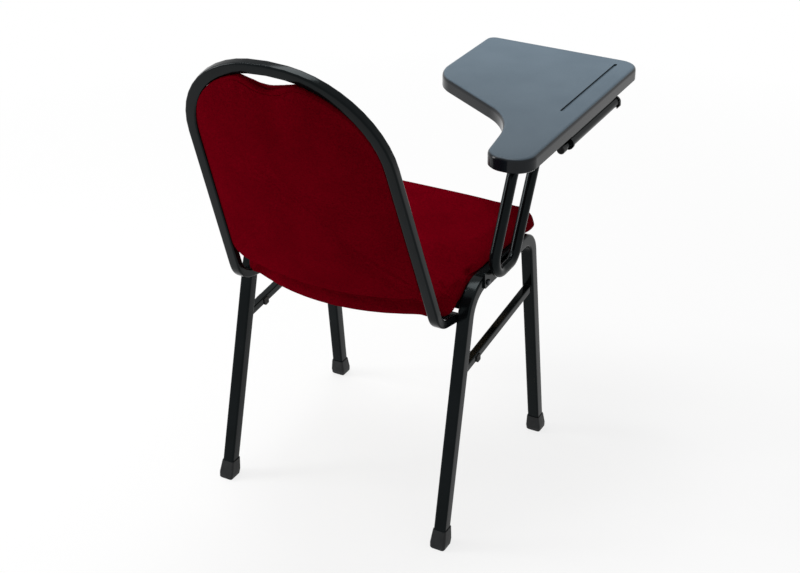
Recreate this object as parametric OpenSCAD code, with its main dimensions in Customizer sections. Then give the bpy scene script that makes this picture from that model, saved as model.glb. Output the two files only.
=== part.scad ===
/* [Side frames] */
// Distance between the centrelines of the two seat rails
rail_spacing = 417; // [390:1:450]
// Height of the rail centrelines above the floor
rail_z = 436; // [410:1:460]
// Outside width of the square frame tube
frame_tube = 22; // [20:0.5:25]
// Corner radius of the square frame tube
frame_tube_r = 3.5; // [2:0.5:5]
// Outward lean of each side frame towards its feet, in degrees
leg_splay = 1; // [0:0.1:2]
// Forward rake of the rear legs, in degrees from upright
rear_rake = 14.4; // [12:0.1:16]
// Rearward rake of the front legs, in degrees from upright
front_rake = 6.9; // [5:0.1:9]
// Distance on the floor from the rear feet to the front feet
foot_depth = 401; // [385:1:420]
// Bend radius of the tube at the rear shoulder
rear_bend_r = 58; // [50:1:66]
// Bend radius of the tube at the front knee
front_bend_r = 36; // [30:1:45]

/* [Foot caps] */
// Greatest width of a moulded foot cap
cap_w = 29; // [26:0.5:32]
// Height of a foot cap
cap_h = 33; // [28:1:40]
// Thickness of plastic under the end of the leg
cap_floor = 8; // [5:0.5:12]
// Bevel at the bottom edge of a foot cap
cap_bevel = 2.4; // [1.5:0.1:3.5]
// Wall of a foot cap at its upper rim
cap_wall = 1.1; // [0.8:0.1:1.6]
// Radius of the vertical corners of a foot cap
cap_corner_r = 4.2; // [3:0.1:5]

/* [Side stretchers and cross bars] */
// Outside width of the square stretcher tube
stretcher_w = 14; // [12:0.5:16]
// Corner radius of the stretcher tube
stretcher_r = 2.2; // [1.5:0.1:3]
// Height of a stretcher where it meets the rear leg
stretcher_rear_z = 300; // [285:1:312]
// Height of a stretcher where it meets the front leg
stretcher_front_z = 329; // [315:1:345]
// Length of a stacking buffer along the stretcher
buffer_len = 12; // [10:0.5:18]
// Wall of a stacking buffer beside and below the stretcher
buffer_wall = 2.2; // [1.6:0.1:3.4]
// Distance from the rear leg's line to the buffer's centre
buffer_inset = 56; // [45:1:75]
// Outside width of the square cross bars under the seat
bar_w = 16; // [14:0.5:18]
// Place of the front cross bar ahead of the middle of the feet
front_bar_y = 104; // [90:1:112]
// Place of the rear cross bar behind the middle of the feet
rear_bar_y = 84; // [78:0.5:86]

/* [Back hoop] */
// Width of the hoop tube seen from the back
hoop_w = 19; // [17:0.5:21]
// Depth of the hoop tube, front to rear
hoop_d = 14.5; // [12:0.5:17]
// Corner radius of the hoop tube
hoop_r = 3; // [2:0.1:4]
// Recline of the hoop, in degrees from upright
hoop_recline = 19.4; // [17:0.1:21]
// Height at which the hoop's lower bends begin
hoop_z = 427; // [418:1:434]
// Place at which the lower bends begin, behind the middle of the feet
hoop_y = 169.5; // [165:0.5:174]
// Radius of the lower bends
hoop_low_r = 44; // [38:1:48]
// Length of each straight side of the hoop
hoop_side = 298; // [280:1:315]
// Inward lean of the straight sides, in degrees
hoop_lean = 3; // [2:0.1:3.6]
// Radius of the gentle bend that starts the lean
hoop_ease_r = 150; // [120:5:180]
// Radius of the flatter bend across the top
hoop_top_r = 261; // [245:1:280]
// Length of the stub that lies along the leg
hoop_stub = 42; // [36:0.5:48]
// Fall of the stubs towards the legs, in degrees below level
hoop_stub_fall = 12; // [6:0.5:18]

/* [Seat] */
// Reach of the cushion's front corners past the rail's centreline
seat_front_over = 9; // [4:0.5:11]
// Distance from the rail's centreline in to the cushion's rear corners
seat_rear_in = 17.5; // [14:0.5:23]
// Front edge of the cushion ahead of the middle of the feet
seat_front_y = 179; // [172:1:190]
// Point where the lines of the sides and the rear edge cross
seat_corner_y = 149; // [144:1:154]
// Point where the two lines of the rear edge cross
seat_apex_y = 225; // [218:1:230]
// Corner radius at the front
seat_front_r = 38; // [30:1:46]
// Corner radius at the rear
seat_rear_r = 52; // [44:1:60]
// Radius of the bowed rear edge
seat_bow_r = 365; // [340:5:390]
// Height of the underside at the middle of the feet
seat_under_z = 424.5; // [420:0.5:430]
// Fall of the seat towards the rear, in degrees
seat_fall = 4.5; // [3.5:0.1:5]
// Thickness of the cushion at its edge line, board included
seat_thick = 42; // [38:0.5:46]
// Extra height of the crown in the middle of the cushion
seat_crown = 9; // [5:0.5:14]
// Bulge of the cushion's side beyond its bottom line
seat_bulge = 3; // [1:0.5:5]
// Thickness of the seat board
seat_board_t = 12; // [9:0.5:15]
// Distance from the cushion's edge to the board
seat_board_inset = 12; // [9:0.5:18]

/* [Back pad] */
// Thickness of the curved inner board
back_board_t = 8; // [6:0.5:10]
// Rearward bow of the board at its foot
back_bow_low = 22; // [16:0.5:28]
// Rearward bow of the board at its top
back_bow_high = 12; // [8:0.5:18]
// Height of the pad's lower edge above the hoop's start, along the hoop
pad_low = 32; // [28:1:42]
// Rise of the lower edge from the middle to its corners
pad_low_rise = 9; // [4:1:14]
// Radius of the pad's lower corners
pad_corner_r = 27; // [20:1:36]
// Dark gap between the pad and the hoop
pad_gap = 1.2; // [0.8:0.1:2]
// Depth of the hand hole under the top of the hoop
hand_drop = 20; // [16:0.5:28]
// Full width of the hand hole
hand_w = 104; // [90:1:120]
// Thickness of the front cushion at its middle
back_cushion_t = 26; // [20:0.5:32]
// Thickness of the front cushion at its edge
back_edge_t = 9; // [6:0.5:12]
// Thickness of the rear panel at its edge
panel_edge_t = 3; // [2:0.1:4]
// Extra thickness of the rear panel at its middle
panel_crown = 5; // [2:0.5:8]

/* [Tablet arm] */
// Radius of the round arm tube
arm_r = 9.5; // [8.5:0.25:10.5]
// Thickness of the mounting plate between arm and rail
arm_plate_t = 3; // [2.5:0.1:4]
// Length of the mounting plate
arm_plate_len = 112; // [104:1:120]
// Height of the mounting plate
arm_plate_h = 28; // [25:0.5:32]
// Middle of the mounting plate ahead of the middle of the feet
arm_plate_y = 1; // [-4:0.5:6]
// Height of the arm's lower run above the rail centreline
arm_low_rise = 9; // [7:0.5:11]
// Rear corner of the arm, behind the middle of the feet
arm_rear_y = 59; // [54:0.5:64]
// Front corner of the arm, ahead of the middle of the feet
arm_front_y = 33; // [28:0.5:38]
// Lean of the arm's rear tube, in degrees from upright
arm_rear_lean = 28.6; // [26:0.1:31]
// Lean of the arm's front tube, in degrees from upright
arm_front_lean = 30; // [28:0.1:32]
// Bend radius of the two lower bends
arm_low_r = 29; // [26:0.5:31]
// Bend radius where the rear tube turns forward under the tablet
arm_high_r = 55; // [45:1:65]
// Front end of the tablet rail, ahead of the middle of the feet
arm_rail_front_y = 372; // [362:1:380]
// Distance from the plate's middle to each mounting bolt
arm_bolt_half = 44; // [40:0.5:47]
// Thread radius of the mounting bolts
arm_bolt_r = 3; // [2.5:0.25:4]

/* [Hinge] */
// Radius of the hinge rod
rod_r = 5.5; // [5:0.25:6.5]
// Height of the rod's axis below the tablet
rod_drop = 12; // [11.6:0.1:14]
// Distance from the tablet's outer edge in to the rod's axis
rod_inset = 6; // [4:0.5:8]
// Radius of the turning sleeve
sleeve_r = 8.5; // [8:0.25:9.5]
// Wall of the turning sleeve
sleeve_wall = 1.2; // [1:0.1:1.6]
// Rear end of the sleeve, ahead of the middle of the feet
sleeve_rear_y = 136; // [128:1:144]
// Front end of the sleeve, ahead of the middle of the feet
sleeve_front_y = 336; // [328:1:344]
// Thickness of the two hinge ears
ear_t = 5; // [4:0.25:6]
// Radius of the ears around the rod
ear_r = 10.5; // [10:0.25:11.4]
// Running gap between the sleeve's bushes and the ears
ear_gap = 0.6; // [0.4:0.1:1]
// Length of rod that shows behind the rear ear
rod_tail = 19; // [14:0.5:24]
// Length of the plastic cap on the rod's rear end
rod_cap_len = 13; // [10:0.5:16]
// Radius of that cap
rod_cap_r = 7; // [6.8:0.1:8]
// Flange thickness of a bush
bush_flange = 2; // [1.5:0.1:3]
// Length of a bush inside the sleeve
bush_len = 22; // [16:1:30]
// Travel of the tablet from writing to raised, in degrees
flip_travel = 100; // [90:1:110]
// Thickness of the leaf that joins the sleeve to the tablet
leaf_t = 2.6; // [2:0.1:3]
// Width of the leaf across the tablet
leaf_w = 44; // [36:1:48]

/* [Tablet] */
// Height of the writing surface above the floor
tablet_z = 664; // [650:1:680]
// Thickness of the tablet
tablet_t = 24.5; // [21:0.5:28]
// Rounding of the tablet's top edge
tablet_edge_r = 7; // [5:0.5:9]
// Outer edge of the tablet, from the chair's middle
tablet_out_x = 288; // [284:1:295]
// Inner edge of the tablet, past the chair's middle
tablet_in_x = 21; // [4:1:40]
// Width of the narrow rear end
tablet_tail_w = 77; // [70:1:86]
// Rear end of the tablet, behind the middle of the feet
tablet_rear_y = 49; // [42:1:56]
// Front edge of the tablet, ahead of the middle of the feet
tablet_front_y = 466; // [455:1:480]
// Length of the pen groove
groove_len = 253; // [220:1:260]
// Width of the pen groove
groove_w = 6; // [4:0.5:8]
// Depth of the pen groove
groove_depth = 3; // [2:0.25:4]
// Distance from the outer edge to the groove
groove_inset = 38; // [32:1:44]

/* [Hidden] */
$fn = 48;
// Air left between pieces that are welded, screwed or glued together
seat_gap = 0.05;
// Air left around a soft piece, and between the layers of the back
soft_gap = 0.3;
layer_gap = 0.4;
// Running clearance of the bushes on the hinge rod
run_gap = 0.05;
// Overrun of every cut
over = 1;
// Bite of one shape of a piece into the next, where they are one solid
tiny = 0.01;
// Wood screws: shank, head, rounding of the head and depth in the wood
screw_r = 2.4;
screw_head_r = 4.6;
screw_head_h = 2.6;
screw_dome = 1.4;
screw_depth = 10;
// Place of the seat screws beside the middle
seat_screw_x = 125;
// Height and radius of a rest buffer between the arm and the tablet
rest_h = 4;
rest_r = 6;
// Depth of a mounting bolt in the rail, and the size of its head
arm_bolt_len = 15;
bolt_head_r = 5.2;
bolt_head_h = 3.4;
// Steps on one rounded corner of a tube
corner_steps = 3;
// Steps on one rounded corner of the seat's and of the back's outline
soft_steps = 9;
pad_steps = 12;
pad_step = 32;
seat_step = 40;
// Largest turn between two stations on a bend, and between two points round a tube
bend_step = 7.5;
tube_step = 15;
// Points closer than this are one point
least_step = 0.05;

steel = [0.035, 0.038, 0.04];
plastic = [0.02, 0.02, 0.022];
cloth = [0.42, 0.005, 0.035];
wood = [0.62, 0.47, 0.3];
slate = [0.2, 0.23, 0.25];
zinc = [0.6, 0.61, 0.62];

// The side frame's own values
rail_x = rail_spacing/2;
foot_x = rail_x + rail_z*tan(leg_splay);
leg_drop = rail_z/cos(leg_splay);
rear_top_y = foot_depth/2 - leg_drop*tan(rear_rake);
front_top_y = -foot_depth/2 + leg_drop*tan(front_rake);
rail_top_z = rail_z + frame_tube/2;

// Inner face of the side frame at a height
function side_in_x(z) = rail_x + (rail_z - z)*tan(leg_splay) - frame_tube/2/cos(leg_splay);
// Place of the rear leg's centreline at a height
function rear_leg_y(z) = foot_depth/2 - z*tan(rear_rake);
// Place of the front leg's centreline at a height
function front_leg_y(z) = -foot_depth/2 + z*tan(front_rake);

// The hoop's own values, in the hoop's plane: x across, s up along the recline
hoop_low_tan = hoop_low_r*tan((90 - hoop_recline - hoop_stub_fall)/2);
hoop_foot_z = hoop_z - hoop_low_tan*(cos(hoop_recline) + sin(hoop_stub_fall));
hoop_x = side_in_x(hoop_foot_z + hoop_d/2) - hoop_w/2 - seat_gap;
hoop_top_turn = 7.2;
ease_tan = hoop_ease_r*tan(hoop_lean/2);
top_tan = hoop_top_r*tan(hoop_top_turn/2);
hoop_side_x = hoop_x - (ease_tan + hoop_side)*sin(hoop_lean);
hoop_side_s = ease_tan + (ease_tan + hoop_side)*cos(hoop_lean);
shoulder_turn = 90 - hoop_top_turn - hoop_lean;
shoulder_tan = (hoop_side_x - top_tan*(1 + cos(hoop_top_turn)))/(cos(hoop_top_turn) + sin(hoop_lean));
shoulder_r = shoulder_tan/tan(shoulder_turn/2);
shoulder_pt = [hoop_side_x - shoulder_tan*sin(hoop_lean), hoop_side_s + shoulder_tan*cos(hoop_lean)];
hoop_top_s = shoulder_pt.y + (shoulder_tan + top_tan)*sin(hoop_top_turn);
hoop_peak = [0, hoop_top_s + top_tan*tan(hoop_top_turn)];
function other_side(p) = [-p.x, p.y];
hoop_path = [
  [hoop_x, 0],
  [hoop_x, ease_tan],
  shoulder_pt,
  hoop_peak,
  other_side(shoulder_pt),
  [-hoop_x, ease_tan],
  [-hoop_x, 0]
];
hoop_radii = [0, hoop_ease_r, shoulder_r, hoop_top_r, shoulder_r, hoop_ease_r, 0];
// The lower bend and its stub, in the upright plane at the hoop's side: rearward, up
stub_turn = hoop_recline + hoop_stub_fall;
hoop_low_path = [
  [-(hoop_low_tan + hoop_stub)*cos(stub_turn), -hoop_low_tan - (hoop_low_tan + hoop_stub)*sin(stub_turn)],
  [0, -hoop_low_tan],
  [0, 0]
];
hoop_low_radii = [0, hoop_low_r, 0];

// The arm's own values. It stands in the plane of the right side frame.
arm_off = frame_tube/2 + arm_plate_t + 2*seat_gap + arm_r;
tablet_under_z = tablet_z - tablet_t;
arm_high_z = tablet_under_z - soft_gap - rest_h - arm_r;
arm_high_h = leg_drop + (arm_high_z - rail_z - arm_off*sin(leg_splay))/cos(leg_splay);
arm_low_h = leg_drop + arm_low_rise;
arm_high_x = rail_x + arm_off*cos(leg_splay) - (arm_high_h - leg_drop)*sin(leg_splay);
arm_split_y = -arm_plate_y;
arm_front_path = [
  [-arm_front_y - (arm_high_h - arm_low_h)*tan(arm_front_lean), arm_high_h],
  [-arm_front_y, arm_low_h],
  [arm_split_y - seat_gap, arm_low_h]
];
arm_rear_path = [
  [arm_split_y, arm_low_h],
  [arm_rear_y, arm_low_h],
  [arm_rear_y - (arm_high_h - arm_low_h)*tan(arm_rear_lean), arm_high_h],
  [-arm_rail_front_y, arm_high_h]
];

// The hinge's own values
rod_x = tablet_out_x - rod_inset;
rod_z = tablet_under_z - rod_drop;
bush_r = sleeve_r - sleeve_wall;
ear_front_y = -(sleeve_front_y + bush_flange + ear_gap);
ear_rear_y = -(sleeve_rear_y - bush_flange - ear_gap);
rod_front_y = ear_front_y - ear_t - ear_gap;
rod_rear_y = ear_rear_y + ear_t + rod_tail;
leaf_z = tablet_under_z - seat_gap - leaf_t;
// Leaf: reach past the rod's axis, and distance from the sleeve's ends
leaf_edge = 3;
leaf_end = 2;
leaf_screw_xs = [16, 32];
leaf_screw_shares = [0.12, 0.5, 0.88];
// Half the height of an ear where it meets the rail, and its place over the rail's middle
ear_root = 4;
ear_root_up = 3;
// Stop pin: radius, length past the ear, and height over the rod's axis on the leaf
stop_pin_r = 1.2;
stop_pin_len = 11;
stop_pin_up = 10.4;
// Depth of the rod in its cap
rod_cap_depth = 8;
// Tablet outline: skew of the front edge, the neck's place and the corner radii
tablet_skew = 13.5;
tablet_shoulder_y = 241;
tablet_neck_x = 188;
tablet_neck_y = 105;
tablet_tail_r = 36;
tablet_outer_r = 36;
tablet_inner_r = 18;
tablet_shoulder_r = 85;
tablet_neck_r = 150;
tablet_under_r = 1.5;
tablet_edge_step = 22.5;
tablet_steps = 12;
groove_start_y = 172;

// Moves a piece from the chair's middle plane to the origin
module place() translate([-mid_x, -mid_y, 0]) children();

// Puts a flat drawing of a side view (rearwards, up) upright across the chair at x
module side_view(x) translate([x, 0, 0]) rotate([90, 0, 90]) children();

// Turns hoop coordinates (across, rearward, along the recline) upright
module hoop_plane() translate([0, hoop_y, hoop_z]) rotate([-hoop_recline, 0, 0]) children();

// The same turn for a point
function hoop_point(x, off, s) = [
  x,
  hoop_y + s*sin(hoop_recline) + off*cos(hoop_recline),
  hoop_z + s*cos(hoop_recline) - off*sin(hoop_recline)
];

// Outline of a rectangle with rounded corners, as points
function round_rect(w, d, r, steps = corner_steps) = [
  for (q = [0:3])
    for (i = [0:steps])
      let (a = 90*q + 90*i/steps)
        [(q == 0 || q == 3 ? 1 : -1)*(w/2 - r) + r*cos(a), (q < 2 ? 1 : -1)*(d/2 - r) + r*sin(a)]
];

function seg_angle(p, q) = atan2(q.y - p.y, q.x - p.x);
function wrap(a) = a > 180 ? a - 360 : a < -180 ? a + 360 : a;
function path_turn(pts, i) = wrap(seg_angle(pts[i], pts[i + 1]) - seg_angle(pts[i - 1], pts[i]));
function path_tan(pts, radii, i) =
  i == 0 || i == len(pts) - 1 ? 0 : radii[i]*tan(abs(path_turn(pts, i))/2);

// Stations along a path with a bend radius at each corner: place and direction.
// Every bend is drawn in equal steps of no more than the named angle.
function bend_stations(pts, radii, i) =
  let (
    a = seg_angle(pts[i - 1], pts[i]),
    turn = path_turn(pts, i),
    side = turn > 0 ? 1 : -1,
    r = side*radii[i],
    centre = pts[i] - path_tan(pts, radii, i)*[cos(a), sin(a)] + r*[-sin(a), cos(a)],
    n = max(1, ceil(abs(turn)/bend_step))
  )
  [for (k = [0:n]) let (b = a + turn*k/n) [centre.x + r*sin(b), centre.y - r*cos(b), b]];
function path_stations(pts, radii) =
  let (last = len(pts) - 1)
  apart(concat(
    [[pts[0].x, pts[0].y, seg_angle(pts[0], pts[1])]],
    [for (i = [1:1:last - 1]) each bend_stations(pts, radii, i)],
    [[pts[last].x, pts[last].y, seg_angle(pts[last - 1], pts[last])]]
  ));

// Drops a point that falls on the one before it
function apart(pts) = [
  for (i = [0:len(pts) - 1])
    if (i == 0 || norm([pts[i].x - pts[i - 1].x, pts[i].y - pts[i - 1].y]) > least_step) pts[i]
];

// Tube bent in one plane. The profile's x lies in the plane, its y across it.
module bent_tube(pts, radii, profile)
  loft([
    for (st = path_stations(pts, radii))
      [for (p = profile) [st.x - p.x*sin(st.z), st.y + p.x*cos(st.z), p.y]]
  ]);
function square_tube(w, r) = round_rect(w, w, r);
function round_tube(r) = [for (a = [0:tube_step:360 - tube_step]) r*[cos(a), sin(a)]];

// Points of a polygon with a radius at each corner, given as [x, y, radius]
function fillet_corner(a, b, c, steps) =
  let (
    d1 = seg_angle(a, b),
    turn = wrap(seg_angle(b, c) - d1),
    side = turn > 0 ? 1 : -1,
    t = b[2]*tan(abs(turn)/2),
    centre = [b.x, b.y] - t*[cos(d1), sin(d1)] + side*b[2]*[-sin(d1), cos(d1)]
  )
  [for (i = [0:steps]) centre + b[2]*[cos(d1 - side*90 + turn*i/steps), sin(d1 - side*90 + turn*i/steps)]];
function fillet_polygon(pts, steps) = apart([
  for (i = [0:len(pts) - 1])
    each fillet_corner(pts[(i + len(pts) - 1)%len(pts)], pts[i], pts[(i + 1)%len(pts)], steps)
]);

// Points added along the straight stretches of a closed outline
function dense(pts, step) = [
  for (i = [0:len(pts) - 1])
    let (a = pts[i], b = pts[(i + 1)%len(pts)], n = max(1, ceil(norm(b - a)/step)))
      for (k = [0:n - 1]) a + (b - a)*k/n
];

// A closed outline moved inwards along its own normals
function inset_outline(pts, d) = [
  for (i = [0:len(pts) - 1])
    let (
      a = pts[(i + len(pts) - 1)%len(pts)],
      b = pts[(i + 1)%len(pts)],
      t = (b - a)/norm(b - a)
    )
    pts[i] + d*[-t.y, t.x]
];

// Faces of a skin over m rings of n points, counted from the point numbered first
function skin_faces(first, n, m) = [
  for (k = [0:m - 2])
    for (i = [0:n - 1])
      let (a = first + k*n + i, b = first + k*n + (i + 1)%n)
        each [[a, a + n, b], [b, a + n, b + n]]
];

// Solid skin over rings of equal length, closed at both flat ends by triangles from the
// first point of the ring, which has to see all the others
module loft(rings) {
  n = len(rings[0]);
  m = len(rings);
  last = (m - 1)*n;
  polyhedron(
    points = [for (ring = rings) each ring],
    faces = concat(
      [for (i = [1:n - 2]) [0, i, i + 1]],
      skin_faces(0, n, m),
      [for (i = [1:n - 2]) [last, last + i + 1, last + i]]
    ),
    convexity = 6
  );
}

// Solid skin over rings, closed at both ends by a point
module pad_skin(low_point, rings, high_point) {
  n = len(rings[0]);
  m = len(rings);
  last = 1 + (m - 1)*n;
  polyhedron(
    points = [low_point, for (ring = rings) each ring, high_point],
    faces = concat(
      [for (i = [0:n - 1]) [0, 1 + i, 1 + (i + 1)%n]],
      skin_faces(1, n, m),
      [for (i = [0:n - 1]) [last + n, last + (i + 1)%n, last + i]]
    ),
    convexity = 6
  );
}

// Leans a flat side view out by the splay, about the rail's centreline.
// It draws the right-hand side, which lies at negative x.
module right_side()
  translate([-rail_x, 0, rail_z])
    rotate([0, leg_splay, 0])
      translate([0, 0, -leg_drop])
        side_view(0)
          children();

// Points on the straight legs, in the side frame's plane
function rear_leg_pt(h) = [foot_depth/2 - h*tan(rear_rake), h];
function front_leg_pt(h) = [-foot_depth/2 + h*tan(front_rake), h];
side_path = [
  rear_leg_pt(cap_floor),
  rear_leg_pt(leg_drop),
  front_leg_pt(leg_drop),
  front_leg_pt(cap_floor)
];

// One continuous square tube: rear leg, shoulder, rail, knee and front leg
module side_tube()
  right_side()
    bent_tube(side_path, [0, rear_bend_r, front_bend_r, 0], square_tube(frame_tube, frame_tube_r));

// The right rail is drilled for the two bolts of the tablet arm
module side_frame_right() color(steel) place() difference() {
  side_tube();
  arm_bolt_places()
    translate([0, 0, -arm_bolt_len])
      cylinder(r = arm_bolt_r + seat_gap, h = arm_bolt_len + over);
}
module side_frame_left() color(steel) place() mirror([1, 0, 0]) side_tube();

// Lower part of a straight leg, grown by a clearance, to cut sockets and tube ends
module leg_cutter(rear, grow)
  right_side()
    bent_tube(
      rear
        ? [rear_leg_pt(cap_floor - grow), rear_leg_pt(stretcher_rear_z + 2*stretcher_w)]
        : [front_leg_pt(cap_floor - grow), front_leg_pt(stretcher_front_z + 2*stretcher_w)],
      [0, 0],
      square_tube(frame_tube + 2*grow, frame_tube_r + grow)
    );

// Moulded cap: bevelled at the floor, widest a third of the way up, narrower at its rim
cap_rim_w = frame_tube/cos(rear_rake) + 2*cap_wall;
cap_rings = [
  [0, cap_w - 2*cap_bevel],
  [cap_bevel, cap_w - cap_bevel/2],
  [cap_h/3, cap_w],
  [cap_h - cap_bevel/2, cap_rim_w],
  [cap_h, cap_rim_w - cap_wall/2]
];
module foot_cap(rear)
  difference() {
    loft([
      for (ring = cap_rings)
        let (
          z = ring[0],
          w = ring[1],
          x = -(foot_x - z*tan(leg_splay)),
          y = rear ? rear_leg_y(z) : front_leg_y(z)
        )
          [for (p = round_rect(w, w, cap_corner_r*w/cap_w)) [x + p.x, y + p.y, z]]
    ]);
    leg_cutter(rear, seat_gap);
  }

module foot_cap_rear_right() color(plastic) place() foot_cap(true);
module foot_cap_rear_left() color(plastic) place() mirror([1, 0, 0]) foot_cap(true);
module foot_cap_front_right() color(plastic) place() foot_cap(false);
module foot_cap_front_left() color(plastic) place() mirror([1, 0, 0]) foot_cap(false);

// Stretcher from leg to leg, in the plane of the side frame
stretcher_path = [
  [rear_leg_y(stretcher_rear_z), stretcher_rear_z],
  [front_leg_y(stretcher_front_z), stretcher_front_z]
];
module stretcher_bar(grow)
  right_side()
    bent_tube(stretcher_path, [0, 0], square_tube(stretcher_w + 2*grow, stretcher_r + grow));

module stretcher()
  difference() {
    stretcher_bar(0);
    leg_cutter(true, seat_gap);
    leg_cutter(false, seat_gap);
  }

module stretcher_right() color(steel) place() stretcher();
module stretcher_left() color(steel) place() mirror([1, 0, 0]) stretcher();

// Rubber saddle under the stretcher, which lands on the chair below in a stack
module stacking_buffer() {
  a = seg_angle(stretcher_path[0], stretcher_path[1]);
  difference() {
    right_side()
      translate(stretcher_path[0])
        rotate([0, 0, a])
          translate([buffer_inset, 0, 0])
            linear_extrude(stretcher_w + 2*buffer_wall, center = true)
              polygon([
                [-buffer_len/2, -stretcher_w/4],
                [buffer_len/2, -stretcher_w/4],
                [buffer_len/2, stretcher_w/2 + buffer_wall/3],
                [buffer_len/2 - buffer_wall, stretcher_w/2 + buffer_wall],
                [-buffer_len/2 + buffer_wall, stretcher_w/2 + buffer_wall],
                [-buffer_len/2, stretcher_w/2 + buffer_wall/3]
              ]);
    stretcher_bar(seat_gap);
  }
}

module stacking_buffer_right() color(plastic) place() stacking_buffer();
module stacking_buffer_left() color(plastic) place() mirror([1, 0, 0]) stacking_buffer();

// Height of the seat's underside at a place
function seat_low(y) = seat_under_z - y*tan(seat_fall);

// Square tube across the chair, under the seat board
module seat_bar(y) {
  z = seat_low(y) - seat_gap - bar_w/2/cos(seat_fall);
  half = side_in_x(z + bar_w/2) - seat_gap - bar_w/2*tan(leg_splay);
  translate([-half, y, z])
    rotate([-seat_fall, 0, 0])
      rotate([90, 0, 90])
        linear_extrude(2*half)
          polygon(round_rect(bar_w, bar_w, stretcher_r));
}

module seat_bar_front() color(steel) place() difference() {
  seat_bar(-front_bar_y);
  seat_screw_holes(screw_r + seat_gap);
}
module seat_bar_rear() color(steel) place() difference() {
  seat_bar(rear_bar_y);
  seat_screw_holes(screw_r + seat_gap);
}

// Outline of the cushion seen from above
seat_corners = [
  [rail_x + seat_front_over, -seat_front_y, seat_front_r],
  [rail_x - seat_rear_in, seat_corner_y, seat_rear_r],
  [0, seat_apex_y, seat_bow_r],
  [seat_rear_in - rail_x, seat_corner_y, seat_rear_r],
  [-rail_x - seat_front_over, -seat_front_y, seat_front_r]
];
seat_outline = dense(fillet_polygon(seat_corners, soft_steps), seat_step);
// Between the rails the cushion's underside is no wider than this
between_rails = side_in_x(rail_top_z) - soft_gap;
function clip_x(p, w) = [max(-w, min(w, p.x)), p.y];

// Shares of the thickness, and of the edge's roundness, up the cushion's rolled edge
seat_edge_shares = [[0.62, 0], [0.8, 0.12], [0.93, 0.42], [1, 1]];
seat_edge_round = 21;
// Shares of the way from the middle to the edge at which the crown is drawn
seat_crown_shares = [0.86, 0.62, 0.36, 0.15];
seat_low_share = 0.97;
seat_step_z = rail_top_z + soft_gap;
seat_step_share = 0.48;
seat_step_ease = 8;
// Height of the step: over the rails, or lower where the cushion lies between them
function seat_step_at(p) =
  let (
    low = min(seat_step_z, seat_low(p.y) + seat_thick*seat_step_share),
    inside = max(0, min(1, (between_rails - abs(p.x))/seat_step_ease))
  )
  seat_step_z + (low - seat_step_z)*inside;

// Upholstered cushion: lower part between the rails, upper part over them
module seat_cushion_skin() {
  low = inset_outline(seat_outline, seat_bulge);
  narrow = [for (p = low) clip_x(p, between_rails)];
  rolled = inset_outline(seat_outline, seat_edge_round);
  function top_z(p, lift) = seat_low(p.y) + seat_thick + lift;
  pad_skin(
    [0, 0, seat_low(0)],
    [
      [for (p = narrow) let (v = p*seat_low_share) [v.x, v.y, seat_low(v.y)]],
      [for (p = narrow) [p.x, p.y, seat_low(p.y) + seat_bulge]],
      [for (p = low) let (c = clip_x(p, between_rails)) [c.x, c.y, seat_step_at(p)]],
      [for (p = low) [p.x, p.y, seat_step_at(p) + soft_gap]],
      for (row = seat_edge_shares)
        let (ring = inset_outline(seat_outline, seat_edge_round*row[1]))
          [for (p = ring) [p.x, p.y, seat_low(p.y) + seat_thick*row[0]]],
      for (q = seat_crown_shares)
        [for (p = rolled) let (v = p*q) [v.x, v.y, top_z(v, seat_crown*(1 - q*q))]]
    ],
    [0, 0, top_z([0, 0], seat_crown)]
  );
}

// Plywood board in the cushion's underside, following its outline
module seat_board_solid(grow)
  translate([0, 0, seat_under_z])
    rotate([-seat_fall, 0, 0])
      translate([0, 0, -grow])
        linear_extrude(seat_board_t + 2*grow)
          polygon([
            for (p = inset_outline(seat_outline, seat_board_inset - grow))
              clip_x([p.x, p.y/cos(seat_fall)], between_rails - seat_board_inset/2 + grow)
          ]);

module seat_board() color(wood) place() difference() {
  seat_board_solid(0);
  seat_screw_holes(screw_r + seat_gap);
}
module seat_cushion() color(cloth) place() difference() {
  seat_cushion_skin();
  seat_board_solid(soft_gap);
}

// Places of the four seat screws: seen from below, through the cross bars
module seat_screw_places()
  for (side = [-1, 1], y = [-front_bar_y, rear_bar_y])
    translate([side*seat_screw_x, y, seat_low(y)])
      rotate([-seat_fall, 0, 0])
        children();

// Round-headed screws up through the cross bars into the board
module seat_screws() color(zinc) place() seat_screw_places() {
  translate([0, 0, -bar_w - screw_head_h - 2*seat_gap])
    cylinder(r1 = screw_head_r - screw_dome, r2 = screw_head_r, h = screw_head_h);
  translate([0, 0, -bar_w - 2*seat_gap - tiny])
    cylinder(r = screw_r, h = bar_w + screw_depth);
}
module seat_screw_holes(r)
  seat_screw_places()
    translate([0, 0, -bar_w - over])
      cylinder(r = r, h = bar_w + over + screw_depth + soft_gap);

// Rectangular tube hoop: one run from stub to stub, with its feet bent forward
function hoop_low_ring(st, side) = [
  for (p = round_rect(hoop_w, hoop_d, hoop_r))
    [side*(hoop_x - p.x), st.x - p.y*sin(st.z), st.y + p.y*cos(st.z)]
];
function hoop_ring(st) = [
  for (p = round_rect(hoop_w, hoop_d, hoop_r))
    [st.x - p.x*sin(st.z), -p.y, st.y + p.x*cos(st.z)]
];
hoop_low_stations = path_stations(hoop_low_path, hoop_low_radii);
hoop_stations = path_stations(hoop_path, hoop_radii);
hoop_low_last = len(hoop_low_stations) - 1;
module back_hoop() color(steel) place() hoop_plane()
  loft(concat(
    [for (st = hoop_low_stations) hoop_low_ring(st, 1)],
    [for (i = [1:len(hoop_stations) - 2]) hoop_ring(hoop_stations[i])],
    [for (i = [hoop_low_last:-1:0]) hoop_low_ring(hoop_low_stations[i], -1)]
  ));

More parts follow.
